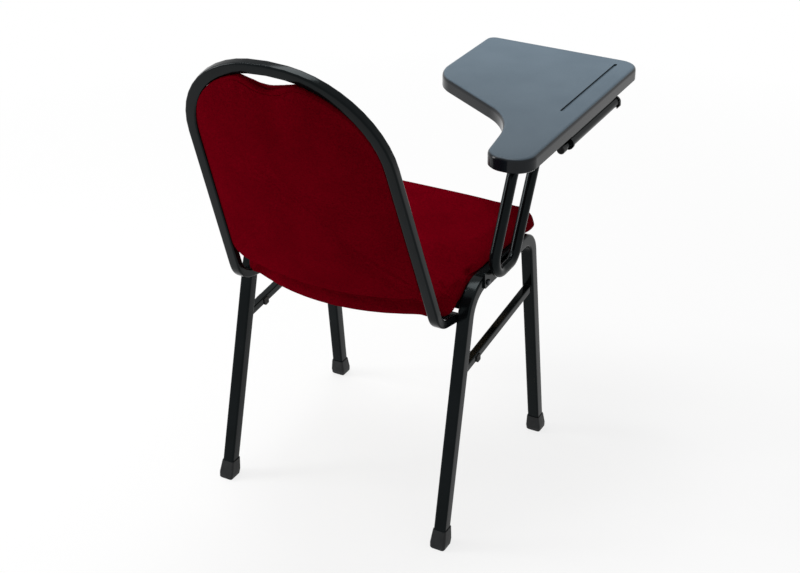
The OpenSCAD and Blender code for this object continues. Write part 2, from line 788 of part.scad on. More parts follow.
// Outline of the back, inside the hoop: across and along the recline
pad_inset = hoop_w/2 + pad_gap;
function moved_corner(pt, a1, a2, d) =
  let (n1 = [-sin(a1), cos(a1)], n2 = [-sin(a2), cos(a2)])
    pt + d*(n1 + n2)/(1 + n1*n2);
pad_shoulder = moved_corner(shoulder_pt, 90 + hoop_lean, 180 - hoop_top_turn, pad_inset);
pad_peak = hoop_peak - [0, pad_inset/cos(hoop_top_turn)];
function pad_side_x(s) = hoop_side_x + (hoop_side_s - s)*tan(hoop_lean) - pad_inset/cos(hoop_lean);
pad_low_x = pad_side_x(pad_low + pad_low_rise);
pad_corners = [
  [0, pad_low - pad_low_rise/3, pad_low_x*pad_low_x/pad_low_rise/2],
  [pad_low_x, pad_low + pad_low_rise, pad_corner_r],
  [pad_shoulder.x, pad_shoulder.y, shoulder_r - pad_inset],
  [pad_peak.x, pad_peak.y, hoop_top_r - pad_inset],
  [-pad_shoulder.x, pad_shoulder.y, shoulder_r - pad_inset],
  [-pad_low_x, pad_low + pad_low_rise, pad_corner_r]
];
pad_mid_s = (pad_low + hoop_top_s)/2;
// Dip of the top edge that leaves the hand hole
function hand_dip(p) =
  p.y < pad_mid_s || abs(p.x) > hand_w/2 ? 0 : hand_drop*(1 + cos(360*p.x/hand_w))/2;
pad_outline = dense([for (p = fillet_polygon(pad_corners, pad_steps)) [p.x, p.y - hand_dip(p)]], pad_step);

// Rearward bow of the back at a place
function bow(x, s) =
  let (half = pad_side_x(s))
    (back_bow_low + (back_bow_high - back_bow_low)*s/hoop_top_s)*(1 - x*x/(half*half));
function pad_ring(inset, scale, off) = [
  for (p = inset_outline(pad_outline, inset))
    let (x = p.x*scale, s = pad_mid_s + (p.y - pad_mid_s)*scale)
      [x, bow(x, s) + off, s]
];
function pad_centre(off) = [0, bow(0, pad_mid_s) + off, pad_mid_s];
inner_shares = [0.25, 0.5, 0.72, 0.9];
// Share of the crown that falls away before the rolled edge
crown_fall_share = 0.6;
panel_roll_share = 0.75;

// Curved plywood board
module back_board_skin()
  pad_skin(
    pad_centre(back_board_t/2),
    [
      for (q = inner_shares) pad_ring(0, q, back_board_t/2),
      pad_ring(0, 1, back_board_t/2),
      pad_ring(0, 1, -back_board_t/2),
      for (i = [len(inner_shares) - 1:-1:0]) pad_ring(0, inner_shares[i], -back_board_t/2)
    ],
    pad_centre(-back_board_t/2)
  );

// Foam and cloth on the sitter's side: a rolled edge and a low crown
module back_cushion_skin() {
  rear = -back_board_t/2 - layer_gap;
  rise = back_cushion_t - back_edge_t;
  pad_skin(
    pad_centre(rear),
    [
      for (q = inner_shares) pad_ring(0, q, rear),
      pad_ring(0, 1, rear),
      pad_ring(0, 1, rear - back_edge_t/2),
      pad_ring(back_edge_t/3, 1, rear - back_edge_t),
      pad_ring(back_edge_t, 1, rear - back_edge_t - rise*(1 - crown_fall_share)),
      for (i = [len(inner_shares) - 1:-1:0])
        let (q = inner_shares[i])
          pad_ring(back_edge_t, q, rear - back_edge_t - rise*(1 - crown_fall_share*q*q*q*q))
    ],
    pad_centre(rear - back_cushion_t)
  );
}

// Thin upholstered panel on the rear side: its rings from the crown out and back in
panel_front = back_board_t/2 + layer_gap;
panel_rings = [
  for (q = inner_shares) pad_ring(panel_edge_t, q, panel_front + panel_edge_t + panel_crown*(1 - q*q)),
  pad_ring(panel_edge_t, 1, panel_front + panel_edge_t),
  pad_ring(panel_edge_t/3, 1, panel_front + panel_edge_t*panel_roll_share),
  pad_ring(0, 1, panel_front),
  for (i = [len(inner_shares) - 1:-1:0]) pad_ring(0, inner_shares[i], panel_front)
];
module back_panel_skin()
  pad_skin(pad_centre(panel_front + panel_edge_t + panel_crown), panel_rings, pad_centre(panel_front));

// Steel tabs on the hoop's inner side that the board is screwed to
tab_len = 17;
tab_h = 26;
tab_t = 2;
tab_screw_in = 10;
tab_shares = [0.3, 0.55];
module tabs(grow)
  for (side = [-1, 1], q = tab_shares) {
    s = hoop_top_s*q;
    x = pad_side_x(s + tab_h/2) + pad_gap;
    translate([side*(x - seat_gap - tab_len/2), 0, s])
      cube([tab_len + 2*grow, tab_t + 2*grow, tab_h + 2*grow], center = true);
  }
module tab_screws(grow)
  for (side = [-1, 1], q = tab_shares) {
    s = hoop_top_s*q;
    x = pad_side_x(s + tab_h/2) + pad_gap;
    translate([side*(x - tab_screw_in), -tab_t/2 - seat_gap, s])
      rotate([90, 0, 0])
        translate([0, 0, -grow])
          cylinder(r = screw_head_r + grow, h = screw_head_h + 2*grow);
  }
module back_tabs() color(steel) place() hoop_plane() tabs(0);
module back_screws() color(zinc) place() hoop_plane() tab_screws(0);
module back_board() color(wood) place() hoop_plane() difference() {
  back_board_skin();
  tabs(soft_gap);
  tab_screws(soft_gap);
}
module back_cushion() color(cloth) place() hoop_plane() difference() {
  back_cushion_skin();
  tabs(soft_gap);
  tab_screws(soft_gap);
}
module back_rear_panel() color(cloth) place() hoop_plane() back_panel_skin();

// Seats of the two bolts on the rail's outer face, each pointing outwards
module arm_bolt_places()
  translate([-rail_x, 0, rail_z])
    rotate([0, leg_splay, 0])
      for (side = [-1, 1])
        translate([-frame_tube/2, -arm_plate_y + side*arm_bolt_half, 0])
          rotate([0, -90, 0])
            children();

// Flat steel plate that the arm is welded to
module arm_mount_plate() color(steel) place() difference() {
  translate([-rail_x, 0, rail_z])
    rotate([0, leg_splay, 0])
      translate([-frame_tube/2 - seat_gap, -arm_plate_y, (arm_plate_h - frame_tube)/2 + arm_plate_t])
        rotate([90, 0, -90])
          linear_extrude(arm_plate_t)
            polygon(round_rect(arm_plate_len, arm_plate_h, arm_plate_t));
  arm_bolt_places()
    cylinder(r = arm_bolt_r + seat_gap, h = arm_plate_t + over);
}

// Bolts with round heads, into threads in the rail
module arm_bolts() color(zinc) place() arm_bolt_places() {
  translate([0, 0, -arm_bolt_len + over])
    cylinder(r = arm_bolt_r, h = arm_bolt_len - over + arm_plate_t + 3*seat_gap);
  translate([0, 0, arm_plate_t + 2*seat_gap])
    cylinder(r = bolt_head_r, h = bolt_head_h/2);
  translate([0, 0, arm_plate_t + 2*seat_gap + bolt_head_h/2])
    cylinder(r1 = bolt_head_r, r2 = bolt_head_r - screw_dome, h = bolt_head_h/2);
}

// Moves a bore or plug to the front end of the tablet rail, pointing forward
module rail_end()
  translate([-arm_high_x, -arm_rail_front_y, arm_high_z])
    rotate([90, 0, 0])
      children();

plug_depth = 14;
plug_head = 2.5;
tube_wall = 1.5;

// Round front tube, coped to the rail under the tablet and butted over the plate
module arm_front_tube() color(steel) place() difference() {
  right_side()
    translate([0, 0, -arm_off])
      bent_tube(arm_front_path, [0, arm_low_r, 0], round_tube(arm_r));
  rail_end()
    translate([0, 0, -arm_rail_front_y])
      cylinder(r = arm_r + seat_gap, h = arm_rail_front_y + over);
}

// Round rear tube, turned forward into the rail under the tablet
module arm_rear_tube() color(steel) place() difference() {
  right_side()
    translate([0, 0, -arm_off])
      bent_tube(arm_rear_path, [0, arm_low_r, arm_high_r, 0], round_tube(arm_r));
  rail_end()
    translate([0, 0, -plug_depth])
      cylinder(r = arm_r - tube_wall, h = plug_depth + over);
}

// Plastic plug in the front end of the tablet rail
module arm_rail_plug() color(plastic) place() rail_end() {
  translate([0, 0, -plug_depth + seat_gap])
    cylinder(r = arm_r - tube_wall - seat_gap, h = plug_depth);
  translate([0, 0, seat_gap])
    cylinder(r1 = arm_r, r2 = arm_r - screw_dome, h = plug_head);
}

// Rubber saddles on the tablet rail that the tablet comes down on
rest_places = [175, 318];
module rest_buffers() color(plastic) place()
  for (y = rest_places)
    difference() {
      translate([-arm_high_x, -y, arm_high_z])
        cylinder(r = rest_r, h = arm_r + rest_h);
      translate([-arm_high_x, -y, arm_high_z])
        rotate([90, 0, 0])
          cylinder(r = arm_r + seat_gap, h = 4*rest_r, center = true);
    }

// A cylinder on the rod's axis, from one place along it to another
module on_rod(y1, y2, r)
  translate([-rod_x, y2, rod_z])
    rotate([90, 0, 0])
      cylinder(r = r, h = y2 - y1);

// Where the stop pin stands beside the rod, so that the leaf meets it fully raised
stop_reach = leaf_edge + stop_pin_r + soft_gap/2;
stop_at = [
  -stop_reach*cos(flip_travel) - stop_pin_up*sin(flip_travel),
  -stop_reach*sin(flip_travel) + stop_pin_up*cos(flip_travel)
];

// Outline of an ear: an eye around the rod and a root at the rail; a lobe holds the pin
module ear_outline(lobe) {
  hull() {
    translate([-rod_x, rod_z]) circle(ear_r);
    translate([-arm_high_x, arm_high_z + ear_root_up]) square([tiny, 2*ear_root], center = true);
  }
  if (lobe)
    hull() {
      translate([-rod_x, rod_z]) circle(ear_r);
      translate([-rod_x + stop_at.x, rod_z + stop_at.y]) circle(stop_pin_r);
    }
}

// Steel ear welded across the tablet rail, with an eye for the rod
module ear(y, lobe)
  difference() {
    translate([0, y + ear_t, 0])
      rotate([90, 0, 0])
        linear_extrude(ear_t)
          ear_outline(lobe);
    on_rod(y - over, y + ear_t + over, rod_r + seat_gap);
    translate([-arm_high_x, y + ear_t + over, arm_high_z])
      rotate([90, 0, 0])
        cylinder(r = arm_r + seat_gap, h = ear_t + 2*over);
  }

// The front ear carries a pin that stops the leaf when the tablet is fully raised
module hinge_ear_front() color(steel) place() {
  ear(ear_front_y - ear_t, true);
  translate([-rod_x + stop_at.x, ear_front_y + stop_pin_len, rod_z + stop_at.y])
    rotate([90, 0, 0])
      cylinder(r = stop_pin_r - seat_gap, h = stop_pin_len + ear_t/2);
}
module hinge_ear_rear() color(steel) place() ear(ear_rear_y, false);

// Fixed rod through both ears, with a plastic cap on its rear tail
module hinge_rod() color(steel) place()
  on_rod(rod_front_y, rod_rear_y + rod_cap_depth, rod_r);
module hinge_rod_cap() color(plastic) place() difference() {
  union() {
    on_rod(rod_rear_y, rod_rear_y + rod_cap_len - screw_dome, rod_cap_r);
    translate([-rod_x, rod_rear_y + rod_cap_len, rod_z])
      rotate([90, 0, 0])
        cylinder(r1 = rod_cap_r - screw_dome, r2 = rod_cap_r, h = screw_dome);
  }
  on_rod(rod_rear_y - over, rod_rear_y + rod_cap_depth + seat_gap, rod_r + seat_gap);
}

// Places of the screws from the leaf up into the tablet
module leaf_screw_places()
  for (x = leaf_screw_xs, q = leaf_screw_shares)
    translate([-rod_x + x, -sleeve_rear_y - (sleeve_front_y - sleeve_rear_y)*q, tablet_under_z])
      children();

// Turning sleeve with the leaf that carries the tablet
module hinge_sleeve() color(steel) place() difference() {
  union() {
    on_rod(-sleeve_front_y, -sleeve_rear_y, sleeve_r);
    translate([-rod_x - leaf_edge, -sleeve_front_y + leaf_end, leaf_z])
      cube([leaf_w, sleeve_front_y - sleeve_rear_y - 2*leaf_end, leaf_t]);
    translate([-rod_x - leaf_edge, -sleeve_front_y + leaf_end, rod_z])
      cube([2*leaf_edge, sleeve_front_y - sleeve_rear_y - 2*leaf_end, leaf_z - rod_z + leaf_t/2]);
  }
  on_rod(-sleeve_front_y - over, -sleeve_rear_y + over, bush_r);
  leaf_screw_places()
    translate([0, 0, -leaf_t - over])
      cylinder(r = screw_r + seat_gap, h = leaf_t + 2*over);
}

// Plain bushes in the ends of the sleeve
module hinge_bush_front() color(plastic) place() difference() {
  union() {
    on_rod(-sleeve_front_y - bush_flange, -sleeve_front_y - seat_gap, sleeve_r);
    on_rod(-sleeve_front_y - bush_flange, -sleeve_front_y + bush_len, bush_r - seat_gap);
  }
  on_rod(-sleeve_front_y - bush_flange - over, -sleeve_front_y + bush_len + over, rod_r + run_gap);
}
module hinge_bush_rear() color(plastic) place() difference() {
  union() {
    on_rod(-sleeve_rear_y + seat_gap, -sleeve_rear_y + bush_flange, sleeve_r);
    on_rod(-sleeve_rear_y - bush_len, -sleeve_rear_y + bush_flange, bush_r - seat_gap);
  }
  on_rod(-sleeve_rear_y - bush_len - over, -sleeve_rear_y + bush_flange + over, rod_r + run_gap);
}

// Outline of the tablet: a broad desk for both hands, necked in towards the rear. It
// starts at the outer front corner, which sees all of it.
tablet_corners = [
  [-tablet_out_x, -tablet_front_y + tablet_skew, tablet_outer_r],
  [tablet_in_x, -tablet_front_y, tablet_inner_r],
  [tablet_in_x, -tablet_shoulder_y, tablet_shoulder_r],
  [-tablet_neck_x, -tablet_neck_y, tablet_neck_r],
  [-tablet_out_x + tablet_tail_w, tablet_rear_y, tablet_tail_r],
  [-tablet_out_x, tablet_rear_y, tablet_tail_r]
];
tablet_outline = fillet_polygon(tablet_corners, tablet_steps);
tablet_rings = concat(
  [[tablet_under_r, 0], [0, tablet_under_r]],
  [
    for (a = [0:tablet_edge_step:90])
      [tablet_edge_r*(1 - cos(a)), tablet_t - tablet_edge_r*(1 - sin(a))]
  ]
);

// Middle of the whole object's box on the floor, which the origin is moved to
box_right = -(rod_x + ear_r);
box_left = foot_x - cap_h/3*tan(leg_splay) + cap_w/2;
box_front = min([for (p = tablet_outline) p.y]);
box_rear = max(
  hoop_point(0, hoop_d/2 - hoop_r, hoop_top_s + hoop_w/2 - hoop_r).y + hoop_r,
  max([for (ring = panel_rings) for (p = ring) hoop_point(p.x, p.y, p.z).y])
);
mid_x = (box_left + box_right)/2;
mid_y = (box_front + box_rear)/2;

// Moulded board with a rolled edge, a pen groove and blind screw holes
module tablet_top() color(slate) place() difference() {
  loft([
    for (row = tablet_rings)
      [for (p = inset_outline(tablet_outline, row[0])) [p.x, p.y, tablet_under_z + row[1]]]
  ]);
  translate([-tablet_out_x + groove_inset, -groove_start_y - groove_len, tablet_z - groove_depth])
    linear_extrude(groove_depth + over)
      polygon(fillet_polygon(
        [
          [-groove_w/2, 0, groove_w/2 - tiny],
          [groove_w/2, 0, groove_w/2 - tiny],
          [groove_w/2, groove_len, groove_w/2 - tiny],
          [-groove_w/2, groove_len, groove_w/2 - tiny]
        ],
        corner_steps
      ));
  leaf_screw_places()
    translate([0, 0, -over])
      cylinder(r = screw_r + seat_gap, h = screw_depth + over + soft_gap);
}

// Round-headed screws through the leaf
module tablet_screws() color(zinc) place() leaf_screw_places() {
  translate([0, 0, -leaf_t - 2*seat_gap - screw_head_h])
    cylinder(r1 = screw_head_r - screw_dome, r2 = screw_head_r, h = screw_head_h);
  translate([0, 0, -leaf_t - 2*seat_gap - tiny])
    cylinder(r = screw_r, h = leaf_t + screw_depth);
}

side_frame_right();
side_frame_left();
foot_cap_rear_right();
foot_cap_rear_left();
foot_cap_front_right();
foot_cap_front_left();
stretcher_right();
stretcher_left();
stacking_buffer_right();
stacking_buffer_left();
seat_bar_front();
seat_bar_rear();
seat_board();
seat_cushion();
seat_screws();
back_hoop();
back_tabs();
back_board();
back_cushion();
back_rear_panel();
back_screws();
arm_mount_plate();
arm_front_tube();
arm_rear_tube();
arm_bolts();
arm_rail_plug();
hinge_ear_front();
hinge_ear_rear();
hinge_rod();
hinge_rod_cap();
rest_buffers();
hinge_sleeve();
hinge_bush_front();
hinge_bush_rear();
tablet_top();
tablet_screws();
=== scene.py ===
import math

import bmesh
import bpy
import numpy as np
from mathutils import Matrix, Vector
from mathutils.bvhtree import BVHTree


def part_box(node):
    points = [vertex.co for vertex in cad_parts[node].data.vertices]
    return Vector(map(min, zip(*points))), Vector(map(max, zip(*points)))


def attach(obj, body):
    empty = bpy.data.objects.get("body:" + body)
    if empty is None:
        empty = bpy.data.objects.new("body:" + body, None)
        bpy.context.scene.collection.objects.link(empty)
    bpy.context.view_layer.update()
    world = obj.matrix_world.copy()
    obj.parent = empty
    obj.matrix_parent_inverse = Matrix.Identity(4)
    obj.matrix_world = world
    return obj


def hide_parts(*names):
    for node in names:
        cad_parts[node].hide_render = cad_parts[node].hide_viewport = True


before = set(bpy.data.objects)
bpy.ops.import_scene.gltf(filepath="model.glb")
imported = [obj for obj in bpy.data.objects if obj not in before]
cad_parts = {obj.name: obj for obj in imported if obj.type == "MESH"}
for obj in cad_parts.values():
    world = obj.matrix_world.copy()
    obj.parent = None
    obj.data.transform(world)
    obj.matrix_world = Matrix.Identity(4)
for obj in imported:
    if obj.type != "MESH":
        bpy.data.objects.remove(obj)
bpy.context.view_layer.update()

# Side frames. Each is one length of square steel tube, bent in a former into rear leg,
# shoulder, seat rail, knee and front leg. All the steel is powder coated black, with a
# gloss that still shows the fine orange peel of the coat.

coat_dark = (0.0012, 0.0016, 0.0018, 1.0)
coat_light = (0.0028, 0.0036, 0.0042, 1.0)
coat_cloud_size = 0.045
coat_peel_size = 0.0016
coat_peel_depth = 0.00005
coat_roughness = (0.13, 0.19)
coat_specular = 0.10
coat_specular_tint = (0.80, 0.96, 1.0, 1.0)
point_join = 0.00002
sharpest_bend = math.radians(42)
flat_face_weight = 80


def add_node(finish, kind, inputs=None, **settings):
    """One node of a finish, with its settings, and with values or other nodes' outputs led in."""
    node = finish.node_tree.nodes.new(kind)
    for name, value in settings.items():
        setattr(node, name, value)
    for name, value in (inputs or {}).items():
        if isinstance(value, bpy.types.NodeSocket):
            finish.node_tree.links.new(value, node.inputs[name])
        else:
            node.inputs[name].default_value = value
    return node


def new_finish(name, plain):
    """A finish, with the values that are the same all over it, its shader, and each point's place."""
    finish = bpy.data.materials.new(name)
    finish.use_nodes = True
    shader = finish.node_tree.nodes["Principled BSDF"]
    for socket, value in plain.items():
        shader.inputs[socket].default_value = value
    place = add_node(finish, "ShaderNodeTexCoord").outputs["Object"]
    return finish, shader, place


def grain(finish, place, size, detail=3.0):
    """Soft random grain whose grains are about size wide."""
    sockets = {"Vector": place, "Scale": 1.0 / size, "Detail": detail}
    return add_node(finish, "ShaderNodeTexNoise", sockets).outputs[0]


def between(finish, amount, low, high, to_low, to_high):
    """Carries amount from the range low to high over to the range to_low to to_high."""
    sockets = {"Value": amount, "From Min": low, "From Max": high, "To Min": to_low, "To Max": to_high}
    return add_node(finish, "ShaderNodeMapRange", sockets).outputs[0]


def tones(finish, amount, *stops):
    """A colour for each amount, from stops of (amount, colour)."""
    ramp = add_node(finish, "ShaderNodeValToRGB", {"Fac": amount})
    marks = ramp.color_ramp.elements
    while len(marks) < len(stops):
        marks.new(0.5)
    for mark, (position, colour) in zip(marks, stops):
        mark.position = position
        mark.color = colour
    return ramp.outputs["Color"]


def relief(finish, height, depth, strength, below=None):
    """A bump of that depth, laid over another bump where one is given."""
    sockets = {"Height": height, "Distance": depth, "Strength": strength}
    if below is not None:
        sockets["Normal"] = below
    return add_node(finish, "ShaderNodeBump", sockets).outputs["Normal"]


def join(finish, output, shader, socket):
    """Leads an output into a socket of the shader."""
    finish.node_tree.links.new(output, shader.inputs[socket])


def black_powder_coat():
    """Black powder melted on in an oven, cloudy from far off and dimpled close by."""
    finish, shader, place = new_finish("black_powder_coat", {
        "Specular IOR Level": coat_specular, "Specular Tint": coat_specular_tint,
    })
    cloud = grain(finish, place, coat_cloud_size)
    peel = grain(finish, place, coat_peel_size, 2.0)
    join(finish, tones(finish, cloud, (0.3, coat_dark), (0.7, coat_light)), shader, "Base Color")
    join(finish, between(finish, cloud, 0.3, 0.7, *coat_roughness), shader, "Roughness")
    join(finish, relief(finish, peel, coat_peel_depth, 0.4), shader, "Normal")
    return finish


def rounding():
    """Smooth shading for a bent tube: the bends and corners flow, real edges stay sharp."""
    group = bpy.data.node_groups.new("rounded_bends", "GeometryNodeTree")
    group.interface.new_socket("Geometry", in_out="INPUT", socket_type="NodeSocketGeometry")
    group.interface.new_socket("Geometry", in_out="OUTPUT", socket_type="NodeSocketGeometry")
    start = group.nodes.new("NodeGroupInput")
    joined = group.nodes.new("GeometryNodeMergeByDistance")
    joined.inputs["Distance"].default_value = point_join
    smooth = group.nodes.new("GeometryNodeSetShadeSmooth")
    crisp = group.nodes.new("GeometryNodeSetShadeSmooth")
    crisp.domain = "EDGE"
    crisp.inputs["Shade Smooth"].default_value = False
    angle = group.nodes.new("GeometryNodeInputMeshEdgeAngle")
    steep = group.nodes.new("FunctionNodeCompare")
    steep.data_type = "FLOAT"
    steep.operation = "GREATER_THAN"
    steep.inputs[1].default_value = sharpest_bend
    end = group.nodes.new("NodeGroupOutput")
    link = group.links.new
    link(start.outputs[0], joined.inputs[0])
    link(joined.outputs[0], smooth.inputs[0])
    link(smooth.outputs[0], crisp.inputs[0])
    link(angle.outputs[0], steep.inputs[0])
    link(steep.outputs[0], crisp.inputs["Selection"])
    link(crisp.outputs[0], end.inputs[0])
    return group


rounded_bends = rounding()


def coat(finish, *nodes):
    """Gives CAD nodes their finish, and smooth shading along their bends."""
    for name in nodes:
        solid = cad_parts[name]
        solid.data.materials.clear()
        solid.data.materials.append(finish)
        solid.modifiers.new("rounded_bends", "NODES").node_group = rounded_bends
        even = solid.modifiers.new("even_faces", "WEIGHTED_NORMAL")
        even.keep_sharp = True
        even.weight = flat_face_weight


powder_coat = black_powder_coat()
coat(powder_coat, "side_frame_right", "side_frame_left")

# Foot caps. Moulded in black polypropylene and knocked on over the ends of the legs. The
# mould is spark-eroded, so the plastic has a fine even grain and little gloss.

cap_black = (0.0070, 0.0080, 0.0085, 1.0)
cap_worn = (0.0150, 0.0165, 0.0175, 1.0)
cap_wear_size = 0.012
cap_grain_size = 0.0009
cap_grain_depth = 0.00012
cap_roughness = (0.42, 0.58)
cap_specular = 0.22


def black_plastic():
    """Black plastic with the fine even grain of its mould."""
    finish, shader, place = new_finish("black_plastic", {"Specular IOR Level": cap_specular})
    fine = grain(finish, place, cap_grain_size, 1.0)
    cloud = grain(finish, place, cap_wear_size)
    join(finish, tones(finish, cloud, (0.35, cap_black), (0.75, cap_worn)), shader, "Base Color")
    join(finish, between(finish, fine, 0.3, 0.7, *cap_roughness), shader, "Roughness")
    join(finish, relief(finish, fine, cap_grain_depth, 0.6), shader, "Normal")
    return finish


cap_plastic = black_plastic()
coat(
    cap_plastic,
    "foot_cap_rear_right", "foot_cap_rear_left", "foot_cap_front_right", "foot_cap_front_left",
)

# Stretchers. A thinner square tube runs from leg to leg on each side, its ends cut to the
# rake of the legs and welded all round. The bead is laid by hand, so it ripples.

# A bead ripples once in every ripple_steps points, wavers slowly as the hand did, and thins
# out at open ends. bead_guide is any direction that no seam runs along.
bead_r = 0.0013
bead_sides = 8
bead_ripple = 0.0019
ripple_steps = 4
ripple_swell = 0.16
waver_swell = 0.10
waver_turn = 0.37
bead_end = 0.35
bead_end_rise = 0.2
bead_easing = 3
bead_guide = (0.31, 0.52, 0.79)

# Points are laid seam_step apart along edges that turn by more than seam_angle degrees, and
# those further apart than seam_split belong to different seams.
seam_step = 0.0012
seam_split = 0.006
seam_angle = 20.0
same_point = 0.000001
fewest_points = 4
stretcher_reach = 0.0004


def surface_of(*names):
    """The surfaces of CAD nodes, to measure distances from."""
    points, faces = [], []
    for name in names:
        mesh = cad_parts[name].data
        first = len(points)
        points += [v.co.copy() for v in mesh.vertices]
        faces += [[first + k for k in face.vertices] for face in mesh.polygons]
    return BVHTree.FromPolygons(points, faces)


def joined_shape(mesh):
    """A mesh as a shape that can be worked on, with the points that lie on one another joined."""
    shape = bmesh.new()
    shape.from_mesh(mesh)
    bmesh.ops.remove_doubles(shape, verts=shape.verts, dist=same_point)
    return shape


def edge_points(name, sharpest):
    """Points along the edges of a CAD node's own shape, leaving out those inside flat faces."""
    shape = joined_shape(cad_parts[name].data)
    points = []
    for edge in shape.edges:
        if len(edge.link_faces) == 2 and edge.calc_face_angle() > math.radians(sharpest):
            first, last = (np.array(v.co) for v in edge.verts)
            count = max(2, int(edge.calc_length() / seam_step))
            points += [first + (last - first) * k / count for k in range(count + 1)]
    shape.free()
    return np.array(points)


def seams_on(name, mate, reach, half=None, sharpest=seam_angle):
    """Where a CAD node's edges lie on another, within reach, as open or closed lines.

    half is an axis and a side, 1 or -1, and keeps only the half of the node that lies there.
    """
    surface = surface_of(mate)
    points = edge_points(name, sharpest)
    if half:
        axis, side = half
        middle = (points[:, axis].min() + points[:, axis].max()) / 2
        points = points[(points[:, axis] - middle) * side > 0]
    points = np.array([p for p in points if surface.find_nearest(Vector(p))[3] < reach])
    if len(points) < fewest_points:
        return []
    middle = (points.min(0) + points.max(0)) / 2
    across, up = np.linalg.svd(points - middle, full_matrices=False)[2][:2]
    order = np.argsort(np.arctan2((points - middle) @ up, (points - middle) @ across))
    points = points[order]
    gaps = np.linalg.norm(np.roll(points, -1, 0) - points, axis=1)
    breaks = np.nonzero(gaps > seam_split)[0]
    if len(breaks) == 0:
        return [(points, True)]
    points = np.roll(points, -(breaks[0] + 1), 0)
    gaps = np.linalg.norm(np.diff(points, axis=0), axis=1)
    parts = np.split(points, np.nonzero(gaps > seam_split)[0] + 1)
    return [(part, False) for part in parts if np.linalg.norm(part[-1] - part[0]) > seam_split]


def stepped(path, step, closed):
    """A path with a point at every step along it."""
    path = np.array(path, float)
    if closed:
        path = np.vstack([path, path[:1]])
    lengths = np.linalg.norm(np.diff(path, axis=0), axis=1)
    along = np.concatenate([[0], np.cumsum(lengths)])
    count = max(fewest_points, int(along[-1] / step))
    marks = np.linspace(0, along[-1], count, endpoint=not closed)
    return np.array([np.interp(marks, along, path[:, k]) for k in range(3)]).T


def laid_bead(path, closed):
    """The points and faces of one rippled weld bead along a path."""
    line = stepped(path, bead_ripple / ripple_steps, closed)
    if closed:
        ahead, behind = np.roll(line, -1, 0), np.roll(line, 1, 0)
        for _ in range(bead_easing):
            line = (ahead + behind + 2 * line) / 4
            ahead, behind = np.roll(line, -1, 0), np.roll(line, 1, 0)
        course = ahead - behind
    else:
        course = np.gradient(line, axis=0)
    course /= np.linalg.norm(course, axis=1)[:, None]
    points, faces = [], []
    for k, (spot, way) in enumerate(zip(line, course)):
        side = np.cross(way, bead_guide)
        side /= np.linalg.norm(side)
        over = np.cross(way, side)
        ripple = abs(math.sin(k * math.pi / ripple_steps))
        swell = 1 + ripple_swell * ripple + waver_swell * math.sin(k * waver_turn)
        if not closed:
            swell *= min(1.0, bead_end + bead_end_rise * min(k, len(line) - 1 - k))
        for j in range(bead_sides):
            turn = 2 * math.pi * j / bead_sides
            points.append(spot + bead_r * swell * (math.cos(turn) * side + math.sin(turn) * over))
    rows = len(line)
    for k in range(rows if closed else rows - 1):
        for j in range(bead_sides):
            a, b = k * bead_sides + j, k * bead_sides + (j + 1) % bead_sides
            c, d = (a + bead_sides) % len(points), (b + bead_sides) % len(points)
            faces.append([a, b, d, c])
    if not closed:
        faces.append(list(range(bead_sides))[::-1])
        faces.append(list(range(len(points) - bead_sides, len(points))))
    return points, faces


def new_piece(name, mesh, finish):
    """A piece of its own, made of a mesh in one finish."""
    piece = bpy.data.objects.new(name, mesh)
    bpy.context.scene.collection.objects.link(piece)
    piece.data.materials.append(finish)
    return piece


def welds(name, seams):
    """One piece of the beads that were laid along some seams."""
    points, faces = [], []
    for path, closed in seams:
        bead_points, bead_faces = laid_bead(path, closed)
        first = len(points)
        points += bead_points
        faces += [[first + k for k in face] for face in bead_faces]
    mesh = bpy.data.meshes.new(name)
    mesh.from_pydata([tuple(p) for p in points], [], faces)
    mesh.validate()
    mesh.shade_smooth()
    piece = new_piece(name, mesh, powder_coat)
    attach(piece, "chair")


coat(powder_coat, "stretcher_right", "stretcher_left")
for side in ("right", "left"):
    seams = []
    for half in (1, -1):
        seams += seams_on(f"stretcher_{side}", f"side_frame_{side}", stretcher_reach, half=(1, half))
    welds(f"stretcher_welds_{side}", seams)

# Stacking buffers. A matt rubber shoe under each stretcher keeps the chair below from being
# scratched when the chairs are stacked.

rubber_black = (0.0170, 0.0170, 0.0170, 1.0)
rubber_dusty = (0.0420, 0.0410, 0.0390, 1.0)
rubber_dust_size = 0.006
rubber_grain_size = 0.0006
rubber_grain_depth = 0.00008
rubber_roughness = (0.68, 0.86)
rubber_specular = 0.3


def matt_rubber():
    """Black rubber, with dust rubbed into it in patches."""
    finish, shader, place = new_finish("black_rubber", {"Specular IOR Level": rubber_specular})
    fine = grain(finish, place, rubber_grain_size, 2.0)
    dust = grain(finish, place, rubber_dust_size)
    join(finish, tones(finish, dust, (0.4, rubber_black), (0.8, rubber_dusty)), shader, "Base Color")
    join(finish, between(finish, dust, 0.3, 0.7, *rubber_roughness), shader, "Roughness")
    join(finish, relief(finish, fine, rubber_grain_depth, 0.7), shader, "Normal")
    return finish


rubber = matt_rubber()
coat(rubber, "stacking_buffer_right", "stacking_buffer_left")

# Cross bars. Two square tubes join the side frames under the seat and carry the seat's
# screws. Their ends are welded to the inner faces of the rails.

bar_reach = 0.0010

coat(powder_coat, "seat_bar_front", "seat_bar_rear")
for bar in ("front", "rear"):
    seams = []
    for side in ("right", "left"):
        seams += seams_on(f"seat_bar_{bar}", f"side_frame_{side}", bar_reach)
    welds(f"seat_bar_{bar}_welds", seams)

# Back hoop. One length of flat-sided tube goes up from one leg, over the top of the back
# and down to the other leg, where its stubs are welded to the inner faces of the legs. The
# steel tabs inside it hold the back.

hoop_reach = 0.00045

coat(powder_coat, "back_hoop", "back_tabs")
seams = []
for side in ("right", "left"):
    seams += seams_on("back_hoop", f"side_frame_{side}", hoop_reach)
welds("hoop_welds", seams)

